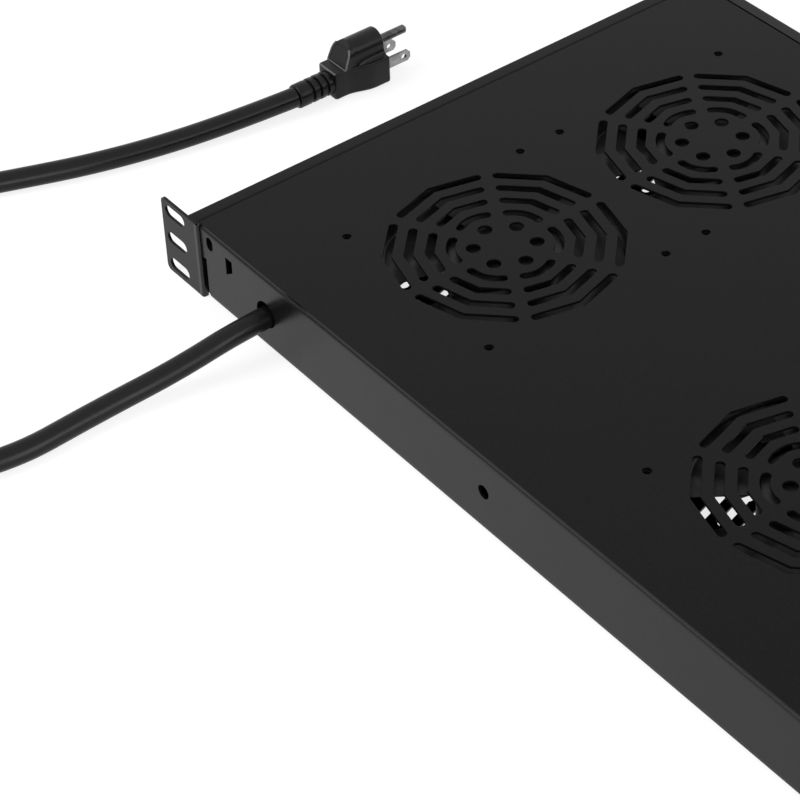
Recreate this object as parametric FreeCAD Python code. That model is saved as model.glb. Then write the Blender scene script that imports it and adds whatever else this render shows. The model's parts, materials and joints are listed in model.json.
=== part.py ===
"""Rack fan tray, one rack unit high: four axial fans hang under a vented cover.

Frame: X runs along the front panel, +Y runs to the rear and +Z is up. The origin is
the centre of the tray's footprint, on the surface that it stands on. Millimetres.
"""
import FreeCAD
import Part
import math
import os

Vector = FreeCAD.Vector
ORIGIN = Vector(0, 0, 0)
X = Vector(1, 0, 0)
Y = Vector(0, 1, 0)
Z = Vector(0, 0, 1)

# Sheet metal
sheet = 1.5
bend_inside = 0.5
fit_gap = 0.1
edge_gap = 0.3
cover_front_gap = 0.5

# Overall size
ear_overall_width = 482.6
body_width = 440.0
body_depth = 328.0
rail_height = 43.65
cover_proud = 0.5
rail_flange = 8.3
front_clearance = 2.5
panel_return = 15.0

# Rack ears
ear_corner_r = 3.0
ear_slot_width = 6.4
ear_slot_length = 16.0
ear_slot_inset = 11.3
ear_slot_pitch = 15.875

# Front panel openings
tab_height = 18.0
tab_reach = 4.3
corner_notch = 2.6
bracket_slot_width = 5.0
bracket_slot_height = 7.5
bracket_slot_inset = 8.4
tie_slot_width = 5.1
tie_slot_inset = 21.4
tie_slot_tall = 10.1
tie_slot_short = 6.5
top_row_drop = 8.3
cord_hole_r = 7.0
cord_hole_inset = 52.5
cord_hole_height = 20.85
gland_hole_r = 3.5
gland_hole_height = 23.75

# Cover and its web vents
rear_gap = 1.0
rear_flange = 7.6
web_rings = 4
web_radius = 55.5
web_pitch = 10.0
web_slot = 4.4
web_spoke = 5.4
centre_hole_r = 3.5
centre_hole_circle = 15.0
fan_hole_r = 2.2

# Fans
fan_pitch_x = 210.0
fan_pitch_y = 130.0
fan_setback = 0.8
fan_size = 120.0
fan_depth = 25.0
fan_hole_pitch = 105.0
fan_flange = 3.6
fan_bore_r = 57.5
fan_wall = 3.0
fan_corner = 5.0
fan_screw_hole_r = 2.25
strut_width = 7.0
strut_turn = -13.0
lead_strut_width = 12.0
strut_height = 3.0
motor_base_r = 27.0
bearing_end_gap = 2.0
bearing_tube_r = 6.5
bearing_r = 4.0
shaft_r = 1.5
shaft_play = 0.05
stator_r = 20.0
stator_height = 11.0
stator_lift = 0.5
rotor_r = 28.0
rotor_wall = 2.5
rotor_drop = 2.0
rotor_lift = 1.4
shaft_end_gap = 0.3
bore_sides = 16
motor_sides = 12
shaft_sides = 8
blade_count = 5
blade_tip_gap = 1.2
blade_height = 16.5
blade_thickness = 1.6
blade_root_chord = 29.0
blade_tip_chord = 62.0
blade_camber = 4.0
blade_untwist = 2.0
rotor_rest_turns = [5, 57, 7, 40]

# Screws
fan_screw_r = 2.1
fan_screw_head_r = 4.2
fan_screw_head = 2.6
fan_screw_recess = 0.6
rail_screw_r = 1.9
rail_screw_head_r = 3.6
rail_screw_head = 2.2
saddle_screw_head_r = 3.0
rail_screw_inset = 40.0

# Joining angles
angle_leg = 14.0
bracket_leg = 15.0
bracket_drop = 15.0

# Mains lead
cord_r = 5.5
cord_drop = 1.3
cord_sides = 8
saddle_depth = 10.0
saddle_wall = 3.0
saddle_screw_gap = 1.0
sheath_end = 20.5
coil_middle_r = 60.0
coil_layers = 2
coil_sides = 24
coil_across = -143.9
coil_along = -163.75

# Terminal block
block_length = 42.0
block_depth = 13.0
block_height = 15.0
block_ways = 4
block_well_r = 2.4
block_mouth = 2.2
block_floor = 7.0
block_sill = 2.0
block_gap = 18.8
clamp_screw_length = 5.0

# Plug
plug_across = -149.6
plug_along = 178.55
plug_length = 32.5
plug_back_width = 15.5
plug_front_width = 23.8
plug_height = 16.5
plug_waist = 8.0
plug_straight = 11.0
plug_edge = 1.6
hump_r = 7.5
hump_rise = 1.2
hump_crest_length = 19.0
hump_heel = 5.2
hump_lean = 5.5
hump_shoulder = 2.5
hump_root = 4.0
plug_neck = 21.0
relief_wall = 0.5
relief_floor = 4.0
relief_rib = 0.9
relief_rib_length = 3.0
relief_rib_pitch = 4.6
relief_rib_taper = 0.15
relief_ribs = 3
blade_spacing = 12.7
blade_width = 6.35
blade_metal = 1.55
blade_reach = 17.0
blade_tip_cut = 1.6
blade_hole_r = 1.6
blade_hole_inset = 4.2
ground_offset = 11.86
ground_pin_r = 2.4
ground_reach = 19.5

# Places that follow from the sizes above
half_sheet = sheet / 2
bend_outside = bend_inside + sheet
cover_top = rail_height + cover_proud
cover_under = cover_top - sheet
front_face = -(body_depth + sheet) / 2 + sheet
rear_face = front_face + body_depth
fan_middle_y = front_face + body_depth / 2 + fan_setback
leg_inner = body_width / 2 - rail_flange
leg_outer = leg_inner + sheet
panel_end = leg_inner - fit_gap
panel_back = front_face + sheet
fan_floor = cover_under - fan_depth
rear_flange_edge = rear_face - rear_flange
cover_rear = rear_flange_edge - rear_gap
tube_height = fan_depth - rotor_drop - rotor_wall - bearing_end_gap
cord_x = -(panel_end - cord_hole_inset)
cord_exit_height = cord_hole_height - cord_drop
coil_height = 2 * cord_r * coil_layers
coil_x = cord_x + coil_across
coil_y = front_face + coil_along
saddle_reach = cord_r + saddle_wall + rail_screw_r + saddle_screw_gap
saddle_half = saddle_reach + rail_screw_r + saddle_screw_gap
block_x = cord_x + saddle_half + block_gap + block_length / 2
plug_x = cord_x + plug_across
plug_front_y = front_face + plug_along
hole_height = cover_top - top_row_drop


def box(x0, x1, y0, y1, z0, z1):
    """Block between two corners."""
    return Part.makeBox(x1 - x0, y1 - y0, z1 - z0, Vector(x0, y0, z0))


def polygon(radius, centre, normal, sides):
    """Corners of a regular polygon about a centre."""
    side = normal.cross(X if abs(normal.x) < 0.5 * normal.Length else Y).normalize()
    turned = FreeCAD.Rotation(normal, 360 / sides)
    corners = []
    for number in range(sides):
        corners.append(centre + side * radius)
        side = turned.multVec(side)
    return corners


def prism(radius, start, along, sides):
    """Many-sided rod with its corners at the radius: a small or repeated round with few faces."""
    return plate(polygon(radius, start, along, sides), along)


def few_sided_hole(radius, start, along, sides):
    """Cutter with its flats at the radius, so that a rod of that radius goes through."""
    return prism(radius / math.cos(math.pi / sides), start, along, sides)


def plate(points, along):
    """Flat polygon extruded by a vector."""
    return Part.Face(Part.makePolygon(points + points[:1])).extrude(along)


def faceted_loft(first, second):
    """Solid between two outlines with equally many corners, in flat triangles."""
    faces = [Part.Face(Part.makePolygon(outline + outline[:1])) for outline in (first, second)]
    following = zip(first, first[1:] + first[:1], second, second[1:] + second[:1])
    for a, b, c, d in following:
        faces.append(Part.Face(Part.makePolygon([a, b, d, a])))
        faces.append(Part.Face(Part.makePolygon([a, d, c, a])))
    return Part.makeSolid(Part.makeShell(faces))


def fuse(shapes):
    """One clean solid from several that touch or overlap."""
    return shapes[0].multiFuse(shapes[1:]).removeSplitter()


def mirrored(shape):
    """The same piece for the other side of the tray."""
    return shape.mirror(ORIGIN, X)


def obround(centre, along, length, width, through):
    """Slot with round ends: centre, long direction, size, and the vector that it is cut by."""
    reach = along * ((length - width) / 2)
    side = through.cross(along).normalize() * (width / 2)
    nose = along * (width / 2)
    ahead = centre + reach
    behind = centre - reach
    edges = [
        Part.LineSegment(behind + side, ahead + side).toShape(),
        Part.Arc(ahead + side, ahead + nose, ahead - side).toShape(),
        Part.LineSegment(ahead - side, behind - side).toShape(),
        Part.Arc(behind - side, behind - nose, behind + side).toShape(),
    ]
    return Part.Face(Part.Wire(edges)).extrude(through)


def flat_ended_slot(centre, along, length, width, through):
    """Small slot whose ends are closed by three flats."""
    out = through.cross(along).normalize() * (width / 2)
    reach = along * ((length - width) / 2)
    nose = along * (width / 2)
    flat = math.tan(math.pi / 8)
    points = []
    for turn in (1, -1):
        end = centre + reach * turn
        ahead = nose * turn
        for aside in (out * turn, out * -turn):
            pair = [end + aside + ahead * flat, end + aside * flat + ahead]
            points += pair if aside == out * turn else pair[::-1]
    return plate(points, through)


def bent_sheet(path, normal, run):
    """Sheet folded along path, the sharp middle line of its legs, and extruded by run.

    At each fold the two faces become arcs about one centre: the inside has the bend
    radius and the outside has that radius plus the sheet.
    """
    middle_r = bend_inside + half_sheet
    sides = {1: [], -1: []}
    for k in sides:
        first = (path[1] - path[0]).normalize()
        sides[k].append([path[0] + normal.cross(first) * (k * half_sheet)])
        for before, corner, after in zip(path, path[1:], path[2:]):
            come = (corner - before).normalize()
            leave = (after - corner).normalize()
            turn = come.getAngle(leave)
            left = 1 if come.cross(leave).dot(normal) > 0 else -1
            setback = middle_r * math.tan(turn / 2)
            centre = corner - come * setback + normal.cross(come) * (left * middle_r)
            radius = middle_r - left * k * half_sheet
            outward = (corner - centre).normalize()
            start = corner - come * setback + normal.cross(come) * (k * half_sheet)
            end = corner + leave * setback + normal.cross(leave) * (k * half_sheet)
            sides[k].append([start, centre + outward * radius, end])
        last = (path[-1] - path[-2]).normalize()
        sides[k].append([path[-1] + normal.cross(last) * (k * half_sheet)])
    outline = sides[1] + [stop[::-1] for stop in sides[-1][::-1]]
    edges = []
    for stop, following in zip(outline, outline[1:] + outline[:1]):
        if len(stop) == 3:
            edges.append(Part.Arc(*stop).toShape())
        edges.append(Part.LineSegment(stop[-1], following[0]).toShape())
    return Part.Face(Part.Wire(edges)).extrude(run)


def rail_screw_places():
    """Distances along Y of the screws that hold a side rail to its angle."""
    middle = front_face + body_depth / 2
    reach = body_depth / 2 - rail_screw_inset
    return [middle - reach, middle, middle + reach]


def rail_screw_height():
    """Height of those screws, in the middle of the angle's upright leg."""
    return cover_under - angle_leg / 2


def left_side_rail():
    """Side rail: upright leg, flange folded outward at the top, rack ear at the front."""
    leg_x = -(leg_inner + half_sheet)
    start_y = front_face + bend_inside
    section = [
        Vector(leg_x, start_y, 0),
        Vector(leg_x, start_y, rail_height - half_sheet),
        Vector(-body_width / 2, start_y, rail_height - half_sheet),
    ]
    rail = bent_sheet(section, Y, Y * (rear_face - sheet - start_y))
    ear_y = front_face - half_sheet
    ear_path = [
        Vector(-ear_overall_width / 2, ear_y, 0),
        Vector(leg_x, ear_y, 0),
        Vector(leg_x, panel_back + half_sheet, 0),
    ]
    ear = bent_sheet(ear_path, Z, Z * rail_height)
    outline = rounded_panel(-ear_overall_width / 2, 0, rail_height)
    flange_root = box(
        -body_width / 2, -(leg_outer + bend_inside),
        front_face, start_y, rail_height - sheet, rail_height,
    )
    rail = fuse([rail, ear.common(outline), flange_root])
    cuts = [ear_slot(row) for row in (-1, 0, 1)]
    for y in rail_screw_places():
        start = Vector(-body_width / 2, y, rail_screw_height())
        cuts.append(few_sided_hole(rail_screw_r + fit_gap, start, X * rail_flange, 6))
    return rail.cut(Part.Compound(cuts))


def rounded_panel(x0, x1, height):
    """Upright slab through the ear, with the ear's two outer corners rounded."""
    slab = box(x0, x1, front_face - rail_flange, panel_back + rail_flange, 0, height)
    corners = [
        edge for edge in slab.Edges
        if abs(edge.CenterOfMass.x - x0) < 1e-6 and abs(edge.tangentAt(edge.FirstParameter).y) > 0.9
    ]
    return slab.makeFillet(ear_corner_r, corners)


def ear_slot(row):
    """Mounting slot of an ear, in the row below, at or above the middle."""
    centre = Vector(
        -ear_overall_width / 2 + ear_slot_inset,
        front_face - 2 * sheet,
        rail_height / 2 + row * ear_slot_pitch,
    )
    return obround(centre, X, ear_slot_length, ear_slot_width, Y * (4 * sheet))


def front_panel():
    """Channel with returns at the top and bottom, end tabs, and the panel's openings."""
    wall_y = front_face + half_sheet
    top_z = cover_under - half_sheet
    low_z = front_clearance + half_sheet
    back_y = front_face + panel_return
    section = [
        Vector(-panel_end, back_y, top_z),
        Vector(-panel_end, wall_y, top_z),
        Vector(-panel_end, wall_y, low_z),
        Vector(-panel_end, back_y, low_z),
    ]
    panel = bent_sheet(section, X, X * (2 * panel_end))
    tab_floor = cover_under - tab_height
    end = panel_end - tab_reach
    through = Y * panel_return
    cuts = []
    for side in (-1, 1):
        outer, inner = sorted((side * end, side * (panel_end + tab_reach)))
        cuts.append(box(outer, inner, front_face - sheet, back_y + sheet, 0, tab_floor))
        outer, inner = sorted((side * (end + tab_reach), side * (end - corner_notch)))
        notch_top = front_clearance + corner_notch
        cuts.append(box(outer, inner, front_face - sheet, back_y + sheet, 0, notch_top))
        centre = Vector(side * (panel_end - bracket_slot_inset), front_face - sheet, hole_height)
        cuts.append(flat_ended_slot(centre, Z, bracket_slot_height, bracket_slot_width, Y * (3 * sheet)))
    left = -(panel_end - tie_slot_inset)
    tie_slot = [
        Vector(left, front_face - sheet, cover_top - top_row_drop),
        Vector(left + tie_slot_width, front_face - sheet, cover_top - top_row_drop),
        Vector(left + tie_slot_width, front_face - sheet, cover_top - top_row_drop - tie_slot_short),
        Vector(left, front_face - sheet, cover_top - top_row_drop - tie_slot_tall),
    ]
    cuts.append(plate(tie_slot, Y * (3 * sheet)))
    start = Vector(cord_x, front_face - sheet, cord_hole_height)
    cuts.append(few_sided_hole(cord_hole_r, start, Y * (3 * sheet), bore_sides))
    start = Vector(0, front_face - sheet, gland_hole_height)
    cuts.append(few_sided_hole(gland_hole_r, start, Y * (3 * sheet), motor_sides))
    saddle_hole = saddle_screw_places()
    for x in saddle_hole:
        start = Vector(x, front_face + panel_return - saddle_depth / 2, 0)
        cuts.append(few_sided_hole(rail_screw_r + fit_gap, start, Z * (front_clearance + 2 * sheet), 6))
    panel = panel.cut(Part.Compound(cuts))
    flaps = []
    for side in (-1, 1):
        outer, inner = sorted((side * end, side * (end - sheet)))
        flap_floor = front_clearance + bend_outside + corner_notch
        flaps.append(
            box(outer, inner, front_face + sheet, back_y, flap_floor, tab_floor - corner_notch)
        )
    return fuse([panel] + flaps)


def rear_panel():
    """Rear wall, folded forward at the top beside the cover and at the bottom."""
    wall_y = rear_face - half_sheet
    top_z = cover_top - half_sheet
    low_z = front_clearance + half_sheet
    section = [
        Vector(-panel_end, rear_flange_edge, top_z),
        Vector(-panel_end, wall_y, top_z),
        Vector(-panel_end, wall_y, low_z),
        Vector(-panel_end, rear_face - panel_return, low_z),
    ]
    channel = bent_sheet(section, X, X * (2 * panel_end))
    wall = box(
        -body_width / 2, body_width / 2, rear_face - sheet, rear_face,
        front_clearance + bend_outside, rail_height - bend_outside,
    )
    return fuse([channel, wall])


def left_side_angle():
    """Angle under the cover's edge, screwed to the side rail's leg."""
    x = -(panel_end - half_sheet)
    front = front_face + panel_return + edge_gap
    section = [
        Vector(x, front, cover_under - angle_leg),
        Vector(x, front, cover_under - half_sheet),
        Vector(x + angle_leg, front, cover_under - half_sheet),
    ]
    run = cover_rear - angle_leg - edge_gap - front
    angle = bent_sheet(section, Y, Y * run)
    holes = [
        prism(rail_screw_r, Vector(-leg_outer, y, rail_screw_height()), X * (3 * sheet), 6)
        for y in rail_screw_places()
    ]
    return angle.cut(Part.Compound(holes))


def rear_angle():
    """Angle that joins the cover's rear edge to the rear panel."""
    wall_y = rear_face - sheet - fit_gap - half_sheet
    section = [
        Vector(-panel_end, cover_rear - angle_leg, cover_under - half_sheet),
        Vector(-panel_end, wall_y, cover_under - half_sheet),
        Vector(-panel_end, wall_y, cover_under - angle_leg),
    ]
    return bent_sheet(section, X, X * (2 * panel_end))


def left_corner_bracket():
    """Bracket that ties the front panel's tab to the side rail's leg."""
    x = -(panel_end - half_sheet)
    y = panel_back + fit_gap + half_sheet
    floor = cover_under - sheet - fit_gap - bracket_drop
    section = [
        Vector(x, y + angle_leg - sheet, floor),
        Vector(x, y, floor),
        Vector(x + bracket_leg, y, floor),
    ]
    bracket = bent_sheet(section, Z, Z * bracket_drop)
    start = Vector(-(panel_end - bracket_slot_inset), panel_back, hole_height)
    return bracket.cut(few_sided_hole(bracket_slot_width / 2, start, Y * (3 * sheet), 8))


def fan_places():
    """Centres of the four fans, row by row from the front left."""
    return [
        (column * fan_pitch_x / 2, fan_middle_y + row * fan_pitch_y / 2)
        for row in (-1, 1) for column in (-1, 1)
    ]


def corner_places():
    """Corners of the square on which a fan's four screws stand, about its centre."""
    reach = fan_hole_pitch / 2
    return [(i * reach, j * reach) for i in (-1, 1) for j in (-1, 1)]


def web_slot_outline(radius):
    """Outline of one slot of a vent's web, bent in its middle.

    The slot follows two sides of a twelve-sided ring that meet on the X axis. It stops
    short of the spokes at 30 degrees to either side, and three flats close each end.
    """
    half = web_slot / 2
    bend = Vector(radius, 0, 0)
    corner = Vector(radius * math.cos(math.pi / 6), radius * math.sin(math.pi / 6), 0)
    along = (corner - bend).normalize()
    out = along.cross(Z)
    stop = corner - along * ((web_spoke / 2 + half) / math.sin(math.radians(75)))
    flat = half * math.tan(math.pi / 8)
    mitre = half / math.cos(math.pi / 12)
    upper = [
        bend + X * mitre,
        stop + out * half + along * flat,
        stop + out * flat + along * half,
        stop - out * flat + along * half,
        stop - out * half + along * flat,
        bend - X * mitre,
    ]
    lower = [Vector(p.x, -p.y, 0) for p in upper[1:-1][::-1]]
    return upper + lower


def web_cutter(x, y):
    """Everything that one vent removes from the cover, about its fan's centre."""
    cuts = []
    through = Z * (3 * sheet)
    for ring in range(web_rings):
        outline = web_slot_outline(web_radius - ring * web_pitch)
        slot = plate(outline, through)
        for sixth in range(6):
            turned = slot.copy()
            turned.rotate(ORIGIN, Z, 60 * sixth)
            cuts.append(turned)
    for sixth in range(6):
        angle = math.radians(60 * sixth)
        place = Vector(math.cos(angle), math.sin(angle), 0) * centre_hole_circle
        cuts.append(few_sided_hole(centre_hole_r, place, through, 8))
    for i, j in corner_places():
        cuts.append(few_sided_hole(fan_hole_r, Vector(i, j, 0), through, 6))
    cutter = Part.Compound(cuts)
    cutter.translate(Vector(x, y, cover_under - sheet))
    return cutter


def top_cover():
    """Flat cover with a web vent over each fan."""
    half = panel_end - edge_gap
    front = front_face + cover_front_gap
    cover = box(-half, half, front, cover_rear, cover_under, cover_top)
    return cover.cut(Part.Compound([web_cutter(x, y) for x, y in fan_places()]))


def fan_frame():
    """Square frame of a fan about its own axis, from z = 0 up.

    Two flanges hold a round wall between them. Struts carry the motor's base and its
    bearing tube across the bottom; the wide one takes the lead.
    """
    half = fan_size / 2
    body = box(-half, half, -half, half, 0, fan_depth)
    upright = [edge for edge in body.Edges if abs(edge.CenterOfMass.z - fan_depth / 2) < 1e-6]
    body = body.makeChamfer(fan_corner, upright)
    waist = box(-half - 1, half + 1, -half - 1, half + 1, fan_flange, fan_depth - fan_flange)
    wall = prism(fan_bore_r + fan_wall, ORIGIN, Z * fan_depth, bore_sides)
    body = body.cut(waist.cut(wall))
    body = body.cut(prism(fan_bore_r, ORIGIN, Z * fan_depth, bore_sides))
    struts = [prism(motor_base_r, ORIGIN, Z * strut_height, motor_sides)]
    for quarter in range(4):
        width = lead_strut_width if quarter == 0 else strut_width
        strut = box(motor_base_r / 2, fan_bore_r + fan_wall / 2, -width / 2, width / 2, 0, strut_height)
        strut.rotate(ORIGIN, Z, strut_turn + 90 * quarter)
        struts.append(strut)
    struts.append(prism(bearing_tube_r, ORIGIN, Z * tube_height, 8))
    body = fuse([body] + struts)
    holes = [few_sided_hole(fan_screw_hole_r, Vector(i, j, 0), Z * fan_depth, 6) for i, j in corner_places()]
    holes.append(few_sided_hole(bearing_r, Z * (strut_height / 2), Z * fan_depth, 8))
    return body.cut(Part.Compound(holes))


def blade_section(x, chord, low, high):
    """Cross-section of a blade in the plane at x, arched in three flats and leaning forward."""
    rise = Z * blade_thickness
    arch = [(0.0, 0.0), (0.3, 0.85), (0.7, 0.85), (1.0, 0.0)]
    lower = [
        Vector(x, chord * (part - 0.5), low + (high - blade_thickness - low) * part + blade_camber * lift)
        for part, lift in arch
    ]
    return lower + [point + rise for point in lower[::-1]]


def impeller():
    """Rotor cup with its blades about the fan's axis, in the fan's own heights."""
    floor = strut_height + rotor_lift
    top = fan_depth - rotor_drop
    hub = prism(rotor_r, Z * floor, Z * (top - floor), bore_sides)
    hub = hub.cut(prism(rotor_r - rotor_wall, Z * floor, Z * (top - floor - rotor_wall), motor_sides))
    low = (floor + top - blade_height) / 2
    root = blade_section(rotor_r - rotor_wall, blade_root_chord, low, low + blade_height)
    tip_low = low + blade_untwist
    tip = blade_section(fan_bore_r, blade_tip_chord, tip_low, tip_low + blade_height - 2 * blade_untwist)
    blade = faceted_loft(root, tip)
    ring = prism(fan_bore_r - blade_tip_gap, ORIGIN, Z * fan_depth, bore_sides)
    ring = ring.cut(prism(rotor_r - rotor_wall / 2, ORIGIN, Z * fan_depth, bore_sides))
    blade = blade.common(ring)
    blades = []
    for number in range(blade_count):
        turned = blade.copy()
        turned.rotate(ORIGIN, Z, 360 / blade_count * number)
        blades.append(turned)
    whole = fuse([hub] + blades)
    return whole.cut(prism(shaft_r, Z * floor, Z * (top - rotor_wall / 2 - floor), shaft_sides))


def shaft():
    """Steel shaft, moulded into the rotor and running in the bearing."""
    top = fan_depth - rotor_drop - rotor_wall / 2
    low = strut_height / 2 + shaft_end_gap
    return prism(shaft_r, Z * low, Z * (top - low), shaft_sides)


def bearing():
    """Sleeve bearing pressed into the frame's tube."""
    low = strut_height / 2
    sleeve = prism(bearing_r / math.cos(math.pi / 8), Z * low, Z * (tube_height - low), 8)
    return sleeve.cut(few_sided_hole(shaft_r + shaft_play, Z * low, Z * tube_height, shaft_sides))


def stator():
    """Motor stator on the bearing tube: an eight-sided stack."""
    floor = strut_height + stator_lift
    body = prism(stator_r, Z * floor, Z * stator_height, 8)
    return body.cut(prism(bearing_tube_r, Z * floor, Z * stator_height, 8))


def fan_screw(x, y):
    """Hexagon-head screw from below through the frame into the cover."""
    head = prism(fan_screw_head_r, Vector(x, y, fan_floor - fan_screw_head), Z * fan_screw_head, 6)
    shank = prism(fan_screw_r, Vector(x, y, fan_floor), Z * (cover_top - fan_screw_recess - fan_floor), 6)
    return fuse([head, shank])


def rail_screw(y, side):
    """Hexagon-head screw through the rail's leg into the angle."""
    start = Vector(side * leg_outer, y, rail_screw_height())
    inward = X * -side
    head = prism(rail_screw_head_r, start - inward * rail_screw_head, inward * rail_screw_head, 6)
    shank = prism(rail_screw_r, start, inward * (2 * sheet + 2 * fit_gap), 6)
    return fuse([head, shank])


def saddle_screw_places():
    """X of the two screws of the cord saddle."""
    return [cord_x - saddle_reach, cord_x + saddle_reach]


def cord_saddle():
    """Block and strap inside the front panel that grip the lead's sheath."""
    back = front_face + panel_return
    front = back - saddle_depth
    floor = front_clearance + sheet
    middle = cord_exit_height
    bore = few_sided_hole(cord_r, Vector(cord_x, front, middle), Y * saddle_depth, motor_sides)
    lower = box(cord_x - saddle_half, cord_x + saddle_half, front, back, floor, middle)
    crown = cord_r + saddle_wall
    profile = [
        Vector(cord_x - saddle_half, front, middle),
        Vector(cord_x - saddle_half, front, middle + saddle_wall),
        Vector(cord_x - crown, front, middle + saddle_wall),
        Vector(cord_x - crown / 2, front, middle + crown),
        Vector(cord_x + crown / 2, front, middle + crown),
        Vector(cord_x + crown, front, middle + saddle_wall),
        Vector(cord_x + saddle_half, front, middle + saddle_wall),
        Vector(cord_x + saddle_half, front, middle),
    ]
    strap = plate(profile, Y * saddle_depth)
    holes = [
        prism(rail_screw_r, Vector(x, (front + back) / 2, floor), Z * (middle + crown), 6)
        for x in saddle_screw_places()
    ]
    cuts = Part.Compound([bore] + holes)
    return lower.cut(cuts), strap.cut(cuts)


def saddle_screws():
    """Two screws down through the strap and the block."""
    y = front_face + panel_return - saddle_depth / 2
    top = cord_exit_height + saddle_wall
    screws = []
    for x in saddle_screw_places():
        head = prism(saddle_screw_head_r, Vector(x, y, top), Z * rail_screw_head, 6)
        shank = prism(rail_screw_r, Vector(x, y, front_clearance), Z * (top - front_clearance), 6)
        screws.append(fuse([head, shank]))
    return screws


def block_ways_places():
    """X of each way of the terminal block."""
    pitch = block_length / block_ways
    return [block_x - block_length / 2 + pitch * (way + 0.5) for way in range(block_ways)]


def terminal_block():
    """Moulded block on the front panel's lower return, with a well and a mouth for each way."""
    floor = front_clearance + sheet
    front = panel_back + edge_gap
    back = front + block_depth
    block = box(
        block_x - block_length / 2, block_x + block_length / 2, front, back,
        floor, floor + block_height,
    )
    middle = (front + back) / 2
    cuts = []
    for x in block_ways_places():
        cuts.append(few_sided_hole(block_well_r, Vector(x, middle, floor + block_floor), Z * block_height, 6))
        cuts.append(
            box(x - block_mouth, x + block_mouth, middle, back, floor + block_sill, floor + block_floor)
        )
    return block.cut(Part.Compound(cuts))


def terminal_screws():
    """Clamping screws down in the block's wells."""
    floor = front_clearance + sheet + block_floor
    middle = panel_back + edge_gap + block_depth / 2
    return [
        prism(block_well_r - fit_gap, Vector(x, middle, floor), Z * clamp_screw_length, 6)
        for x in block_ways_places()
    ]


def rounded_path(points):
    """Straight runs joined by tangent arcs, as large as 0.45 of the shorter run allows."""
    edges = []
    radii = []
    here = points[0]
    for before, corner, after in zip(points, points[1:], points[2:]):
        come = (corner - before).normalize()
        leave = (after - corner).normalize()
        turn = come.getAngle(leave)
        setback = 0.45 * min((corner - before).Length, (after - corner).Length)
        radius = setback / math.tan(turn / 2)
        radii.append(round(radius, 1))
        start = corner - come * setback
        end = corner + leave * setback
        towards = (leave - come).normalize()
        middle = corner + towards * (radius / math.cos(turn / 2) - radius)
        edges.append(Part.LineSegment(here, start).toShape())
        edges.append(Part.Arc(start, middle, end).toShape())
        here = end
    edges.append(Part.LineSegment(here, points[-1]).toShape())
    return Part.Wire(edges), radii


def tube(points, radius, name):
    """Plain tube along a rounded path, with a few flats round it to keep its facets few."""
    path, radii = rounded_path(points)
    first = (points[1] - points[0]).normalize()
    corners = polygon(radius, points[0], first, cord_sides)
    section = Part.makePolygon(corners + corners[:1])
    solid = path.makePipeShell([section], True, False)
    ratio = solid.Volume / (Part.Face(section).Area * path.Length)
    print(name, "length", round(path.Length, 1), "radii", radii, "volume ratio", round(ratio, 4))
    return solid


def lead_point(across, along, height):
    """Point of the lead's route, by its distances from the cord hole in the front panel."""
    return Vector(cord_x + across, front_face + along, height)


def wall_end_route():
    """Route of the lead from the cord saddle to its coil."""
    return [
        lead_point(0, sheath_end, cord_exit_height),
        lead_point(0, -13.75, cord_exit_height),
        lead_point(-3.5, -48.75, 9.5),
        lead_point(-6.1, -88.75, cord_r),
        lead_point(-5.4, -142.75, cord_r),
        lead_point(-29.9, -194.75, cord_r),
        lead_point(-80.9, -224.75, cord_r),
        lead_point(-127.9, -228.25, cord_r),
    ]


def plug_end_route():
    """Route of the lead from its coil to the plug."""
    return [
        lead_point(-209.4, -159.75, 3 * cord_r),
        lead_point(-211.4, -120.75, 13),
        lead_point(-206.9, -74.75, cord_r),
        lead_point(-187.9, -29.75, cord_r),
        lead_point(-168.9, 20.25, cord_r),
        lead_point(-156.4, 79.25, cord_r),
        Vector(plug_x, plug_front_y - plug_length - plug_neck, plug_height / 2),
    ]


def cord_coil():
    """Outer shape of the lead's put-away coil."""
    outer = coil_middle_r + 2 * cord_r
    inner = coil_middle_r - 2 * cord_r
    centre = Vector(coil_x, coil_y, 0)
    ring = prism(outer, centre, Z * coil_height, coil_sides)
    ring = ring.cut(few_sided_hole(inner, centre, Z * coil_height, coil_sides))
    rims = [
        edge for edge in ring.Edges
        if abs(edge.Length - 2 * outer * math.sin(math.pi / coil_sides)) < 1e-3
    ]
    return ring.makeChamfer(cord_r / 2, rims)


def plug_base():
    """Lower half of the plug: narrow behind, flaring to its face, with its long edges cut."""
    back = plug_front_y - plug_length
    stations = [
        (back, plug_back_width / 2),
        (back + plug_waist, plug_back_width / 2),
        (plug_front_y - plug_straight, plug_front_width / 2),
        (plug_front_y, plug_front_width / 2),
    ]
    plan = [Vector(plug_x + half, y, 0) for y, half in stations]
    plan += [Vector(plug_x - half, y, 0) for y, half in stations[::-1]]
    base = plate(plan, Z * plug_height)
    long_edges = [
        edge for edge in base.Edges
        if abs(edge.CenterOfMass.z - plug_height / 2) > 1e-6
        and back + 1e-6 < edge.CenterOfMass.y < plug_front_y - 1e-6
    ]
    return base.makeChamfer(plug_edge, long_edges)


def plug_hump():
    """Arched hump over the ground pin, with a flat thumb rest sloping up from behind."""
    back = plug_front_y - plug_length
    middle = plug_height / 2 + ground_offset + hump_rise
    crest = middle + hump_r
    root = plug_height - hump_root
    side = [
        Vector(0, back + hump_heel, root),
        Vector(0, plug_front_y, root),
        Vector(0, plug_front_y, crest),
        Vector(0, plug_front_y - hump_crest_length, crest),
        Vector(0, back + hump_heel + hump_lean, crest - hump_shoulder),
    ]
    slope = plate(side, X * (4 * hump_r))
    slope.translate(X * (plug_x - 2 * hump_r))
    barrel = prism(hump_r, Vector(plug_x, back, middle), Y * plug_length, bore_sides)
    cheeks = box(plug_x - hump_r, plug_x + hump_r, back, plug_front_y, root, middle)
    return fuse([barrel, cheeks]).common(slope)


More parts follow.
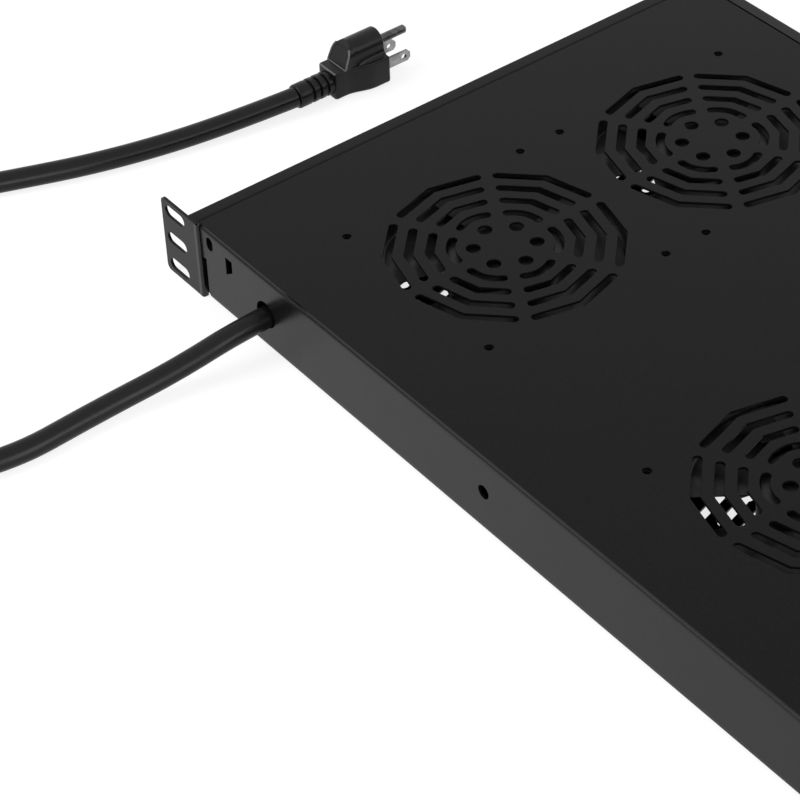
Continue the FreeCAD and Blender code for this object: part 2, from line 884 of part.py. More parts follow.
def plug_body():
    """Moulded plug lying flat on its blades' side."""
    return fuse([plug_base(), plug_hump()])


def plug_relief():
    """Strain relief moulded behind the plug: ribs next to the plug and a plain collar."""
    back = plug_front_y - plug_length
    start = Vector(plug_x, back, plug_height / 2)
    neck_r = cord_r + relief_wall
    pieces = [prism(neck_r, start, -Y * plug_neck, cord_sides)]
    for number in range(relief_ribs):
        rib_r = neck_r + relief_rib - relief_rib_taper * number
        place = start - Y * (relief_rib_length + relief_rib_pitch * number)
        pieces.append(prism(rib_r, place, Y * relief_rib_length, cord_sides))
    collar_start = relief_rib_pitch * relief_ribs
    collar_r = neck_r + relief_rib - relief_rib_taper * relief_ribs
    pieces.append(prism(collar_r, start - Y * collar_start, -Y * (plug_neck - collar_start), cord_sides))
    seat = plug_neck - relief_floor
    return fuse(pieces).cut(prism(cord_r, start - Y * plug_neck, Y * seat, cord_sides))


def plug_blades():
    """The two flat blades of the plug."""
    blades = []
    for side in (-1, 1):
        x = plug_x + side * blade_spacing / 2
        blade = box(
            x - blade_metal / 2, x + blade_metal / 2, plug_front_y, plug_front_y + blade_reach,
            plug_height / 2 - blade_width / 2, plug_height / 2 + blade_width / 2,
        )
        tips = [
            edge for edge in blade.Edges
            if abs(edge.CenterOfMass.y - plug_front_y - blade_reach) < 1e-6
            and abs(edge.CenterOfMass.z - plug_height / 2) > 1e-6
        ]
        blade = blade.makeChamfer(blade_tip_cut, tips)
        start = Vector(x - blade_metal, plug_front_y + blade_reach - blade_hole_inset, plug_height / 2)
        blades.append(blade.cut(few_sided_hole(blade_hole_r, start, X * (2 * blade_metal), 8)))
    return blades


def plug_ground_pin():
    """Round ground pin with a domed tip."""
    start = Vector(plug_x, plug_front_y, plug_height / 2 + ground_offset)
    pin = prism(ground_pin_r, start, Y * ground_reach, motor_sides)
    end = [edge for edge in pin.Edges if abs(edge.CenterOfMass.y - start.y - ground_reach) < 1e-6]
    return pin.makeChamfer(ground_pin_r / 2, end)


def build():
    """All the pieces, by node name."""
    nodes = {
        "top_cover": top_cover(),
        "front_panel": front_panel(),
        "rear_panel": rear_panel(),
        "rear_angle": rear_angle(),
        "side_rail_left": left_side_rail(),
        "side_angle_left": left_side_angle(),
        "corner_bracket_left": left_corner_bracket(),
    }
    for name in ("side_rail", "side_angle", "corner_bracket"):
        nodes[name + "_right"] = mirrored(nodes[name + "_left"])
    at_axis = {
        "fan_frame": fan_frame(),
        "impeller": impeller(),
        "fan_shaft": shaft(),
        "motor_stator": stator(),
        "fan_bearing": bearing(),
    }
    for number, (x, y) in enumerate(fan_places(), 1):
        for name, shape in at_axis.items():
            placed = shape.copy()
            if name in ("impeller", "fan_shaft"):
                placed.rotate(ORIGIN, Z, rotor_rest_turns[number - 1])
            placed.translate(Vector(x, y, fan_floor))
            nodes[f"{name}_{number}"] = placed
    nodes["fan_screws"] = Part.Compound(
        [fan_screw(x + i, y + j) for x, y in fan_places() for i, j in corner_places()]
    )
    nodes["rail_screws"] = Part.Compound(
        [rail_screw(y, side) for side in (-1, 1) for y in rail_screw_places()]
    )
    nodes["cord_saddle_base"], nodes["cord_saddle_strap"] = cord_saddle()
    nodes["cord_saddle_screws"] = Part.Compound(saddle_screws())
    nodes["terminal_block"] = terminal_block()
    nodes["terminal_screws"] = Part.Compound(terminal_screws())
    nodes["mains_lead_wall_end"] = tube(wall_end_route(), cord_r, "wall end")
    nodes["mains_lead_plug_end"] = tube(plug_end_route(), cord_r, "plug end")
    nodes["mains_lead_coil"] = cord_coil()
    nodes["plug_body"] = plug_body()
    nodes["plug_strain_relief"] = plug_relief()
    nodes["plug_blades"] = Part.Compound(plug_blades())
    nodes["plug_ground_pin"] = plug_ground_pin()
    return nodes


os.makedirs("parts", exist_ok=True)
for node, shape in build().items():
    shape.exportStep(f"parts/{node}.step")
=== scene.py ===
"""Rack fan tray: finishes, rounded metal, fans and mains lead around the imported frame.

Metres. +X runs along the front panel, +Y to the rear and +Z up; the tray stands on z = 0.
"""
import json
import math

import bmesh
import bpy
import numpy as np
from mathutils import Matrix, Vector


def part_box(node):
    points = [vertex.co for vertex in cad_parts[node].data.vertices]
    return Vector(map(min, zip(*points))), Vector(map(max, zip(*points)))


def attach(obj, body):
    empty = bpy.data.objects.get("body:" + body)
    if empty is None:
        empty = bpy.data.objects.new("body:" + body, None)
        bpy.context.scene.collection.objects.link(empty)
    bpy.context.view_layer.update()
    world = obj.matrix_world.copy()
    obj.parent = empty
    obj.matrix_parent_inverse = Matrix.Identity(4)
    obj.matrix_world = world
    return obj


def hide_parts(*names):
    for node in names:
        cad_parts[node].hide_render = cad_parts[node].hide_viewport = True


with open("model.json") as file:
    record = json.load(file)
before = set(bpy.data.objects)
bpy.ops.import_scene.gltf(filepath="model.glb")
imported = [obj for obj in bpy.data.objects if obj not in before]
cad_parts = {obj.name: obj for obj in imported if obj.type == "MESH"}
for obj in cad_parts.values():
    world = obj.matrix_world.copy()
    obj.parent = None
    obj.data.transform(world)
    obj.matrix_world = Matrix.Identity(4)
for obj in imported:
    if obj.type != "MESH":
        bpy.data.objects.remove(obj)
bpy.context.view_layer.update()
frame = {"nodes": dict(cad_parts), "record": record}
nodes = frame["nodes"]

# ---------------------------------------------------------------- camera

CAMERA_PLACE = (0.66233, -0.68860, 0.81136)
CAMERA_AHEAD = (-0.609043, 0.445326, -0.656316)
CAMERA_RIGHT = (0.611571, 0.790578, -0.031094)
LENS = 121.24


def add_camera():
    """Camera at the viewing angle: its axes are right, up = right x ahead, and back."""
    data = bpy.data.cameras.new("view")
    data.lens = LENS
    data.sensor_width = 36.0
    data.clip_end = 20.0
    camera = bpy.data.objects.new("view", data)
    right = Vector(CAMERA_RIGHT)
    ahead = Vector(CAMERA_AHEAD)
    up = right.cross(ahead)
    turn = Matrix((right, up, -ahead)).transposed()
    camera.matrix_world = Matrix.Translation(CAMERA_PLACE) @ turn.to_4x4()
    bpy.context.scene.collection.objects.link(camera)
    bpy.context.scene.camera = camera
    bpy.context.scene.view_settings.view_transform = "Standard"


add_camera()

# ---------------------------------------------------------------- mesh helpers

ANY_WAY = (0.3, -0.8, 0.5)


def grid_faces(rows, columns, wrap_rows=False, wrap_columns=False):
    """Quads of a grid whose point (i, j) is number i * columns + j."""
    i = np.arange(rows if wrap_rows else rows - 1)
    j = np.arange(columns if wrap_columns else columns - 1)
    i, j = [a.ravel() for a in np.meshgrid(i, j, indexing="ij")]
    i1 = (i + 1) % rows
    j1 = (j + 1) % columns
    corners = (i * columns + j, i1 * columns + j, i1 * columns + j1, i * columns + j1)
    return np.stack(corners, axis=1)


def mesh_piece(
    name, shapes, material, body="tray", smooth_angle=35.0, accent=None, accent_shape=None
):
    """Object at the origin made of several shapes, each a pair of points and faces.

    One of the shapes may have a second material, the accent.
    """
    points = []
    faces = []
    slots = []
    for number, (shape_points, shape_faces) in enumerate(shapes):
        start = len(points)
        points += np.asarray(shape_points, float).reshape(-1, 3).tolist()
        faces += [[start + int(corner) for corner in face] for face in shape_faces]
        slots += [int(number == accent_shape)] * len(shape_faces)
    mesh = bpy.data.meshes.new(name)
    mesh.from_pydata(points, [], faces)
    mesh.materials.append(material)
    if accent:
        mesh.materials.append(accent)
        mesh.polygons.foreach_set("material_index", slots)
    outward(mesh)
    mesh.polygons.foreach_set("use_smooth", np.ones(len(mesh.polygons), bool))
    mesh.set_sharp_from_angle(angle=math.radians(smooth_angle))
    piece = bpy.data.objects.new(name, mesh)
    bpy.context.scene.collection.objects.link(piece)
    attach(piece, body)
    return piece


def outward(mesh):
    """Turns the faces of every closed shell outward."""
    shell = bmesh.new()
    shell.from_mesh(mesh)
    bmesh.ops.remove_doubles(shell, verts=shell.verts, dist=1e-7)
    bmesh.ops.recalc_face_normals(shell, faces=shell.faces)
    shell.to_mesh(mesh)
    shell.free()


def placed(shape, turn=0.0, shift=(0.0, 0.0, 0.0)):
    """The same shape turned about Z by an angle in degrees, then shifted."""
    points, faces = shape
    angle = math.radians(turn)
    c, s = math.cos(angle), math.sin(angle)
    spin = np.array([[c, s, 0], [-s, c, 0], [0, 0, 1]])
    return np.asarray(points, float).reshape(-1, 3) @ spin + np.asarray(shift), faces


def lathe(profile, sides):
    """Closed profile of (radius, height) pairs turned about Z."""
    angle = np.linspace(0, 2 * math.pi, sides, endpoint=False)
    radius, height = np.array(profile, float).T
    points = np.stack(
        (
            np.outer(np.cos(angle), radius),
            np.outer(np.sin(angle), radius),
            np.outer(np.ones(sides), height),
        ),
        axis=2,
    )
    return points, grid_faces(sides, len(profile), True, True)


def loft(sections):
    """Closed outlines with equally many points, joined one after another and capped."""
    rows, columns = len(sections), len(sections[0])
    faces = grid_faces(rows, columns, False, True).tolist()
    faces.append(list(range(columns)))
    faces.append([(rows - 1) * columns + j for j in range(columns)])
    return np.array(sections, float), faces


def tube(points, radius, sides=8):
    """Round bead along any points; no stretch of them runs along the vector ANY_WAY."""
    path = np.array(points, float)
    ahead = np.gradient(path, axis=0)
    ahead /= np.linalg.norm(ahead, axis=1)[:, None]
    aside = np.cross(ahead, ANY_WAY)
    aside /= np.linalg.norm(aside, axis=1)[:, None]
    rise = np.cross(ahead, aside)
    turn = np.linspace(0, 2 * math.pi, sides, endpoint=False)[None, :, None]
    ring = np.cos(turn) * aside[:, None, :] + np.sin(turn) * rise[:, None, :]
    faces = grid_faces(len(path), sides, False, True).tolist()
    faces += [list(range(sides)), [(len(path) - 1) * sides + j for j in range(sides)]]
    return path[:, None, :] + radius * ring, faces


def block(x0, x1, y0, y1, z0, z1):
    """Box between two corners."""
    low = [(x0, y0, z0), (x1, y0, z0), (x1, y1, z0), (x0, y1, z0)]
    high = [(x, y, z1) for x, y, _ in low]
    return loft([low, high])


def arc(centre, radius, start, end, steps):
    """Points of an arc in a plane, from one angle to another in degrees."""
    angle = np.radians(np.linspace(start, end, steps + 1))
    x = centre[0] + radius * np.cos(angle)
    y = centre[1] + radius * np.sin(angle)
    return np.stack((x, y), axis=1)


def circle(x, y, radius, steps):
    """Clockwise circle, as a hole's outline."""
    return arc((x, y), radius, 360, 0, steps)[:-1]


def rounded_corners(half_x, half_y, radii, steps):
    """Counterclockwise rectangle about the origin, each corner an arc of its own radius."""
    signs = ((1, 1), (-1, 1), (-1, -1), (1, -1))
    arcs = []
    for number, ((i, j), radius) in enumerate(zip(signs, radii)):
        middle = (i * (half_x - radius), j * (half_y - radius))
        arcs.append(arc(middle, radius, 90 * number, 90 * number + 90, steps))
    return np.concatenate(arcs)


def rectangle(left, near, right, far):
    """Counterclockwise outline."""
    return [(left, near), (right, near), (right, far), (left, far)]


def sheet_shape(outline, holes, low, high, rim):
    """Plate between two heights with softened rims.

    The outline runs counterclockwise and the holes clockwise.
    """
    data = bpy.data.curves.new("sheet", "CURVE")
    data.dimensions = "2D"
    data.fill_mode = "BOTH"
    data.extrude = (high - low) / 2 - rim
    data.bevel_depth = rim
    data.bevel_resolution = 1
    data.offset = -rim
    for closed in [outline, *holes]:
        spline = data.splines.new("POLY")
        spline.points.add(len(closed) - 1)
        for point, (x, y) in zip(spline.points, closed):
            point.co = (x, y, 0, 1)
        spline.use_cyclic_u = True
    curve = bpy.data.objects.new("sheet", data)
    bpy.context.scene.collection.objects.link(curve)
    ready = curve.evaluated_get(bpy.context.evaluated_depsgraph_get())
    mesh = bpy.data.meshes.new_from_object(ready)
    points = np.array([vertex.co for vertex in mesh.vertices])
    faces = [list(face.vertices) for face in mesh.polygons]
    bpy.data.objects.remove(curve)
    bpy.data.curves.remove(data)
    bpy.data.meshes.remove(mesh)
    return points + np.array([0, 0, (low + high) / 2]), faces


# ---------------------------------------------------------------- materials

GLOSS_RANGE = (0.3, 0.7)
TINT_RANGE = (0.35, 0.65)


def shader(name, color, roughness, specular=0.5, metallic=0.0):
    """Principled material whose constant values stand on the shader's own sockets."""
    material = bpy.data.materials.new(name)
    material.use_nodes = True
    surface = material.node_tree.nodes["Principled BSDF"]
    surface.inputs["Base Color"].default_value = (*color, 1.0)
    surface.inputs["Roughness"].default_value = roughness
    surface.inputs["Specular IOR Level"].default_value = specular
    surface.inputs["Metallic"].default_value = metallic
    return material


def noise(material, scale, detail):
    """Noise in Object coordinates; scale counts features per metre."""
    tree = material.node_tree
    place = tree.nodes.new("ShaderNodeTexCoord")
    texture = tree.nodes.new("ShaderNodeTexNoise")
    texture.inputs["Scale"].default_value = scale
    texture.inputs["Detail"].default_value = detail
    tree.links.new(place.outputs["Object"], texture.inputs["Vector"])
    return texture.outputs["Fac"]


def spread(material, value, low, high, socket):
    """Sends the middle part of a 0 to 1 value to a shader socket as a range from low to high."""
    tree = material.node_tree
    ramp = tree.nodes.new("ShaderNodeMapRange")
    ramp.inputs["From Min"].default_value = GLOSS_RANGE[0]
    ramp.inputs["From Max"].default_value = GLOSS_RANGE[1]
    ramp.inputs["To Min"].default_value = low
    ramp.inputs["To Max"].default_value = high
    tree.links.new(value, ramp.inputs["Value"])
    tree.links.new(ramp.outputs["Result"], tree.nodes["Principled BSDF"].inputs[socket])


def tint(material, value, dark, light):
    """Base colour that varies between two colours with a 0 to 1 value."""
    tree = material.node_tree
    ramp = tree.nodes.new("ShaderNodeValToRGB")
    for stop, position, color in zip(ramp.color_ramp.elements, TINT_RANGE, (dark, light)):
        stop.position = position
        stop.color = (*color, 1.0)
    tree.links.new(value, ramp.inputs["Fac"])
    tree.links.new(ramp.outputs["Color"], tree.nodes["Principled BSDF"].inputs["Base Color"])


def relief(material, value, distance, strength):
    """Bump of the given height in metres from a 0 to 1 value."""
    tree = material.node_tree
    bump = tree.nodes.new("ShaderNodeBump")
    bump.inputs["Distance"].default_value = distance
    bump.inputs["Strength"].default_value = strength
    tree.links.new(value, bump.inputs["Height"])
    tree.links.new(bump.outputs["Normal"], tree.nodes["Principled BSDF"].inputs["Normal"])


def powder_coat(name, specular):
    """Black satin powder coat: fine orange peel and slightly uneven gloss."""
    material = shader(name, (0.004, 0.004, 0.0042), 0.28, specular=specular)
    spread(material, noise(material, 60.0, 3.0), 0.26, 0.30, "Roughness")
    tint(material, noise(material, 900.0, 2.0), (0.003, 0.003, 0.0031), (0.005, 0.005, 0.0052))
    relief(material, noise(material, 1400.0, 2.0), 0.00001, 0.1)
    return material


def fan_plastic():
    """Black glass-filled plastic of the fan frames and impellers."""
    material = shader("black fan plastic", (0.007, 0.007, 0.007), 0.45, specular=0.3)
    spread(material, noise(material, 250.0, 3.0), 0.40, 0.55, "Roughness")
    tint(material, noise(material, 700.0, 2.0), (0.005, 0.005, 0.005), (0.009, 0.009, 0.009))
    relief(material, noise(material, 2500.0, 2.0), 0.00002, 0.3)
    return material


def sheath_pvc():
    """Black PVC of the lead and the plug, with a soft uneven sheen."""
    material = shader("black pvc", (0.004, 0.004, 0.0042), 0.3, specular=0.22)
    spread(material, noise(material, 120.0, 3.0), 0.27, 0.34, "Roughness")
    tint(material, noise(material, 500.0, 2.0), (0.003, 0.003, 0.0031), (0.005, 0.005, 0.0052))
    relief(material, noise(material, 1800.0, 2.0), 0.00002, 0.3)
    return material


def highlight_pvc():
    """Moulded edges of the plug, painted a little lighter than the rest: a painted highlight where
    the edges catch light.
    """
    material = shader("black pvc with painted highlight", (0.1, 0.1, 0.101), 0.35, specular=0.4)
    tint(material, noise(material, 600.0, 2.0), (0.08, 0.08, 0.081), (0.13, 0.13, 0.131))
    return material


def plated_metal(name, dark, light):
    """Nickel plate with faint drawing marks, between two greys."""
    material = shader(name, (light, light, light), 0.3, metallic=1.0)
    spread(material, noise(material, 1500.0, 3.0), 0.20, 0.34, "Roughness")
    tint(material, noise(material, 300.0, 2.0), (dark, dark, dark), (light, light, light))
    relief(material, noise(material, 3000.0, 2.0), 0.00001, 0.3)
    return material


def brass_metal():
    """Plain brass with slight tarnish."""
    material = shader("brass", (0.62, 0.45, 0.2), 0.35, metallic=1.0)
    spread(material, noise(material, 900.0, 3.0), 0.28, 0.45, "Roughness")
    tint(material, noise(material, 400.0, 3.0), (0.5, 0.35, 0.15), (0.68, 0.5, 0.24))
    return material


def motor_steel():
    """Laminated motor steel: fine layers along Z."""
    material = shader("motor steel", (0.35, 0.35, 0.36), 0.4, metallic=1.0)
    tint(material, noise(material, 500.0, 3.0), (0.25, 0.25, 0.26), (0.4, 0.4, 0.41))
    relief(material, noise(material, 2000.0, 2.0), 0.00003, 0.5)
    return material


def block_plastic():
    """Ivory plastic of the terminal block."""
    material = shader("terminal plastic", (0.6, 0.58, 0.5), 0.45, specular=0.4)
    tint(material, noise(material, 300.0, 3.0), (0.55, 0.53, 0.45), (0.64, 0.62, 0.54))
    relief(material, noise(material, 2500.0, 2.0), 0.00002, 0.3)
    return material


COAT = powder_coat("black powder coat", 0.18)
RAIL_COAT = powder_coat("black powder coat of the rails", 0.13)
COVER_COAT = powder_coat("black powder coat of the cover", 0.1)
FOLD_COAT = powder_coat("black powder coat of the folds", 0.38)
PLASTIC = fan_plastic()
PVC = sheath_pvc()
# Lighter pvc of the plug's beads: a painted highlight, not a different plastic.
PVC_PAINTED_HIGHLIGHT = highlight_pvc()
NICKEL = plated_metal("nickel plate", 0.20, 0.31)
# Darker copy of the same nickel for the ground pin: painted shade standing in for the dark
# surroundings it reflects.
PIN_NICKEL_PAINTED_SHADE = plated_metal("nickel plate with painted dark reflection", 0.07, 0.13)
BRASS = brass_metal()
STEEL = motor_steel()
IVORY = block_plastic()

FINISH = {
    "black_powder_coat": COAT,
    "black_screws": COAT,
    "black_fan_plastic": PLASTIC,
    "black_nylon": PLASTIC,
    "motor_steel": STEEL,
    "brass": BRASS,
    "terminal_plastic": IVORY,
    "black_pvc": PVC,
}


def dress_nodes():
    """Every CAD node gets the material of its slot in the record."""
    for part in frame["record"]["subparts"]:
        node = nodes[part["node"]]
        node.data.materials.clear()
        node.data.materials.append(FINISH[part["material_slot"]])
    nodes["plug_blades"].data.materials[0] = NICKEL
    # The ground pin's darker nickel is a painted dark reflection, not a different plating.
    nodes["plug_ground_pin"].data.materials[0] = PIN_NICKEL_PAINTED_SHADE


dress_nodes()

# ---------------------------------------------------------------- shared sizes

FANS = (1, 2, 3, 4)
CORNERS = [(i, j) for i in (-1, 1) for j in (-1, 1)]
SCREW_SQUARE = 0.0525
SCREW_HOLE = 0.0022
SHEET = 0.0015
RIM = 0.00015
SUNK = 0.9 * SHEET  # where a piece starts inside the sheet in front of it
SHEET_ANGLE = 20.0  # degrees; sharper bends of sheet metal stay crisp


def fan_centre(number):
    """Axis of a fan, taken from its rotor's shaft."""
    low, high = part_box(f"fan_shaft_{number}")
    return (low + high) / 2


def screw_places(x=0.0, y=0.0):
    """The four screws of a fan whose axis is at the given place."""
    return [(x + i * SCREW_SQUARE, y + j * SCREW_SQUARE) for i, j in CORNERS]


# ---------------------------------------------------------------- top cover

SLOT = 0.0044
SPOKE = 0.0054
WEB_RADIUS = 0.0555
WEB_PITCH = 0.010
WEB_RINGS = 4
CENTRE_HOLE = 0.0035
CENTRE_CIRCLE = 0.015


def slot_outline(ring):
    """One slot of a vent's web, clockwise, bent on the X axis.

    Its middle line is two sides of a twelve-sided ring that meet at the ring's radius.
    Each end is a half circle that stops half a spoke away from the spoke's middle line.
    The bends of the innermost ring are wide arcs.
    """
    radius = WEB_RADIUS - ring * WEB_PITCH
    half = SLOT / 2
    bend = np.array([radius, 0.0])
    corner = radius * np.array([math.cos(math.pi / 6), math.sin(math.pi / 6)])
    along = (corner - bend) / np.linalg.norm(corner - bend)
    stop = corner - along * ((SPOKE / 2 + half) / math.sin(math.radians(75)))
    heading = math.degrees(math.atan2(along[1], along[0]))
    if ring == WEB_RINGS - 1:
        turn = 2 * (heading - 90)
        bow = np.linalg.norm(stop - bend) / (2 * math.sin(math.radians(turn / 2)))
        centre = (radius - bow, 0)
        outer = arc(centre, bow + half, -turn, turn, 10)
        inner = arc(centre, bow - half, turn, -turn, 10)
        upper = arc(stop, half, turn, turn + 180, 10)
        lower = upper[::-1] * [1, -1]
        outline = np.concatenate((outer[1:-1], upper, inner[1:-1], lower))
    else:
        mitre = half / math.cos(math.pi / 12)
        upper = arc(stop, half, heading - 90, heading + 90, 10)
        lower = upper[::-1] * [1, -1]
        outline = np.concatenate(([bend + [mitre, 0]], upper, [bend - [mitre, 0]], lower))
    return outline[::-1]


def web_holes(x, y):
    """Outlines of everything that is cut from a cover at one fan."""
    holes = []
    for ring in range(WEB_RINGS):
        outline = slot_outline(ring)
        for sixth in range(6):
            angle = math.radians(60 * sixth)
            c, s = math.cos(angle), math.sin(angle)
            holes.append(outline @ np.array([[c, s], [-s, c]]) + [x, y])
    for px, py in arc((x, y), CENTRE_CIRCLE, 0, 300, 5):
        holes.append(circle(px, py, CENTRE_HOLE, 24))
    return holes + [circle(*place, SCREW_HOLE, 16) for place in screw_places(x, y)]


def vented_sheet(name, outline, low, high):
    """Cover with the webs of all four fans, round-ended slots and softened rims."""
    holes = []
    for number in FANS:
        centre = fan_centre(number)
        holes += web_holes(centre.x, centre.y)
    shape = sheet_shape(outline, holes, low, high, RIM)
    return mesh_piece(name, [shape], COVER_COAT, smooth_angle=SHEET_ANGLE)


def add_cover():
    """Top cover in place of the few-sided solid."""
    low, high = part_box("top_cover")
    outline = rectangle(low.x, low.y, high.x, high.y)
    cover = vented_sheet("vented_cover", outline, low.z, high.z)
    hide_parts("top_cover")


add_cover()

# ---------------------------------------------------------------- side rails

RAIL_FLANGE = 0.0083
FOLD = 0.002
FOLD_INSIDE = 0.0005
SHEET_EDGE = 2 * RIM
EAR_CORNER = 0.003
EAR_SLOT = 0.0064
EAR_SLOT_LENGTH = 0.016
EAR_SLOT_INSET = 0.0113
EAR_SLOT_PITCH = 0.015875
EAR_RIM = 0.0002
EAR_FOLD = 0.0013
EAR_OVER = 0.0012
EAR_FOLD_DROP = 0.3 * FOLD
EAR_PROUD = RIM / 10  # lets the fold cover the ear's own edge


def long_hole(x, y, length, width):
    """Clockwise outline of a slot with round ends, long along X."""
    half = width / 2
    reach = length / 2 - half
    right = arc((x + reach, y), half, 90, -90, 12)
    left = arc((x - reach, y), half, 270, 90, 12)
    return np.concatenate((right, left))


def rail_shapes(side):
    """A side rail: leg and top flange from one folded section, and the rack ear in front.

    u runs outward from the leg's inner face; side is -1 on the left and 1 on the right.
    """
    low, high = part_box("side_rail_left")
    top = high.z
    inner = high.x
    front = low.y
    ear_end = low.x
    edge = SHEET_EDGE
    section = [
        (edge, 0), (0, edge),
        *arc((FOLD, top - FOLD), FOLD, 180, 90, 6),
        (RAIL_FLANGE - edge, top), (RAIL_FLANGE, top - edge),
        (RAIL_FLANGE, top - SHEET + edge), (RAIL_FLANGE - edge, top - SHEET),
        *arc((FOLD, top - FOLD), FOLD_INSIDE, 90, 180, 3),
        (SHEET, edge), (SHEET - edge, 0),
    ]
    ends = [[(inner - u, y, z) for u, z in section] for y in (front + SUNK, high.y)]
    fold_x, fold_y = inner + EAR_OVER - EAR_FOLD, front + EAR_FOLD
    proud = front - EAR_PROUD
    fold = [
        (fold_x - SHEET, proud),
        *arc((fold_x, fold_y), fold_y - proud, -90, 0, 6),
        (inner + EAR_OVER, front + 2 * SHEET), (inner - SHEET, front + 2 * SHEET),
        (fold_x - SHEET, front + SHEET),
    ]
    fold = [[(x, y, z) for x, y in fold] for z in (0, top - EAR_FOLD_DROP)]
    outline = np.concatenate((
        [(fold_x, 0), (fold_x, top)],
        arc((ear_end + EAR_CORNER, top - EAR_CORNER), EAR_CORNER, 90, 180, 8),
        arc((ear_end + EAR_CORNER, EAR_CORNER), EAR_CORNER, 180, 270, 8),
    ))
    slots = []
    for row in (-1, 0, 1):
        height = top / 2 + row * EAR_SLOT_PITCH
        slots.append(long_hole(ear_end + EAR_SLOT_INSET, height, EAR_SLOT_LENGTH, EAR_SLOT))
    points, faces = sheet_shape(outline, slots, 0, SHEET, EAR_RIM)
    ear = np.stack((points[:, 0], front + SHEET - points[:, 2], points[:, 1]), axis=1)
    shapes = [loft(ends), loft(fold), (ear, faces)]
    return [(np.asarray(part).reshape(-1, 3) * [-side, 1, 1], faces) for part, faces in shapes]


def add_rails():
    """Both side rails with softened sheet edges."""
    for side, word in ((-1, "left"), (1, "right")):
        rail = mesh_piece(
            f"rail_and_ear_{word}", rail_shapes(side), RAIL_COAT,
            smooth_angle=SHEET_ANGLE, accent=FOLD_COAT, accent_shape=1,
        )
        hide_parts(f"side_rail_{word}")


add_rails()

# ---------------------------------------------------------------- front panel

PANEL_TOP_FOLD = 0.0014
PANEL_FOLD = 0.0005
PANEL_RETURN = 0.0162
PANEL_TOP_RETURN = 0.015
TAB_REACH = 0.0043
TAB_HEIGHT = 0.018
CORNER_NOTCH = 0.0026
WALL_NOTCH = 0.0010
FLAP_FLOOR = 0.0048
PANEL_RIM = 0.00012
PANEL_PROUD = PANEL_RIM / 10  # lets the folds cover the wall's own edges
TOP_ROW = 0.03585
BRACKET_HOLE = (0.0084, 0.0050, 0.0075)  # inset from the panel's end, width, height
TIE_LEFT = 0.0214
TIE_WIDE = 0.0051
TIE_DEEP = (0.0101, 0.0065)  # at its left and its right side
CORD_HOLE = 0.0070
CORD_HOLE_PLACE = (-0.1591, 0.02085)
MIDDLE_HOLE = 0.0035
MIDDLE_HOLE_PLACE = (0.0015, 0.02336)


def panel_folds(low, high):
    """Top and bottom returns of the front panel, each with its fold, as sections in Y and Z."""
    front = low.y - PANEL_PROUD
    wall = low.y + SHEET
    top_bend = (front + PANEL_TOP_FOLD, high.z - PANEL_TOP_FOLD)
    floor_bend = (front + PANEL_FOLD, low.z + PANEL_FOLD)
    top_end, floor_end = low.y + PANEL_TOP_RETURN, low.y + PANEL_RETURN
    upper = [
        (front, high.z - 2 * SHEET),
        *arc(top_bend, PANEL_TOP_FOLD, 180, 90, 6),
        (top_end, high.z), (top_end, high.z - SHEET),
        (wall, high.z - SHEET), (wall, high.z - 2 * SHEET),
    ]
    lower = [
        (wall, low.z + 2 * SHEET), (wall, low.z + SHEET),
        (floor_end, low.z + SHEET), (floor_end, low.z),
        *arc(floor_bend, PANEL_FOLD, 270, 180, 5),
        (front, low.z + 2 * SHEET),
    ]
    lofts = []
    for section, reach in ((upper, high.x - EAR_OVER), (lower, high.x - TAB_REACH - WALL_NOTCH)):
        lofts.append(loft([[(x, y, z) for y, z in section] for x in (-reach, reach)]))
    return lofts


def panel_holes(half_width):
    """Openings of the front panel's wall: cord hole, middle hole, tie slot, bracket slots."""
    left = TIE_LEFT - half_width
    right = left + TIE_WIDE
    left_floor, right_floor = TOP_ROW - TIE_DEEP[0], TOP_ROW - TIE_DEEP[1]
    holes = [
        circle(*CORD_HOLE_PLACE, CORD_HOLE, 48),
        circle(*MIDDLE_HOLE_PLACE, MIDDLE_HOLE, 32),
        [(left, TOP_ROW), (right, TOP_ROW), (right, right_floor), (left, left_floor)],
    ]
    inset, wide, tall = BRACKET_HOLE
    upright = long_hole(0, 0, tall, wide)
    for side in (-1, 1):
        x = side * (half_width - inset) + upright[:, 1]
        holes.append(np.stack((x, TOP_ROW - upright[:, 0]), axis=1))
    return holes


def add_front_panel():
    """Front panel: wall with tabs and openings, returns at the top and the bottom, end flaps."""
    low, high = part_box("front_panel")
    end = high.x - TAB_REACH
    tab_end = high.x - EAR_OVER
    notch = end - WALL_NOTCH
    tab_floor = high.z - TAB_HEIGHT
    half = [
        (notch, low.z + PANEL_FOLD), (notch, low.z + WALL_NOTCH), (end, low.z + WALL_NOTCH),
        (end, tab_floor), (tab_end, tab_floor), (tab_end, high.z - PANEL_TOP_FOLD),
    ]
    outline = half + [(-x, z) for x, z in half[::-1]]
    points, faces = sheet_shape(outline, panel_holes(high.x), 0, SHEET, PANEL_RIM)
    wall = np.stack((points[:, 0], low.y + SHEET - points[:, 2], points[:, 1]), axis=1)
    shapes = [(wall, faces), *panel_folds(low, high)]
    for side in (-1, 1):
        near, far = sorted((side * end, side * (end - SHEET)))
        flap_top = tab_floor - CORNER_NOTCH
        shapes.append(block(near, far, low.y + SUNK, high.y, FLAP_FLOOR, flap_top))
    panel = mesh_piece("front_wall", shapes, COAT, smooth_angle=SHEET_ANGLE)
    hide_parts("front_panel")


add_front_panel()

# ---------------------------------------------------------------- bottom cover

BOTTOM_LOW = 0.0002
BOTTOM_HIGH = BOTTOM_LOW + SHEET
BOTTOM_SIDE_GAP = 0.0003
BOTTOM_FRONT_GAP = 0.0025
BOTTOM_REAR_GAP = 0.0015


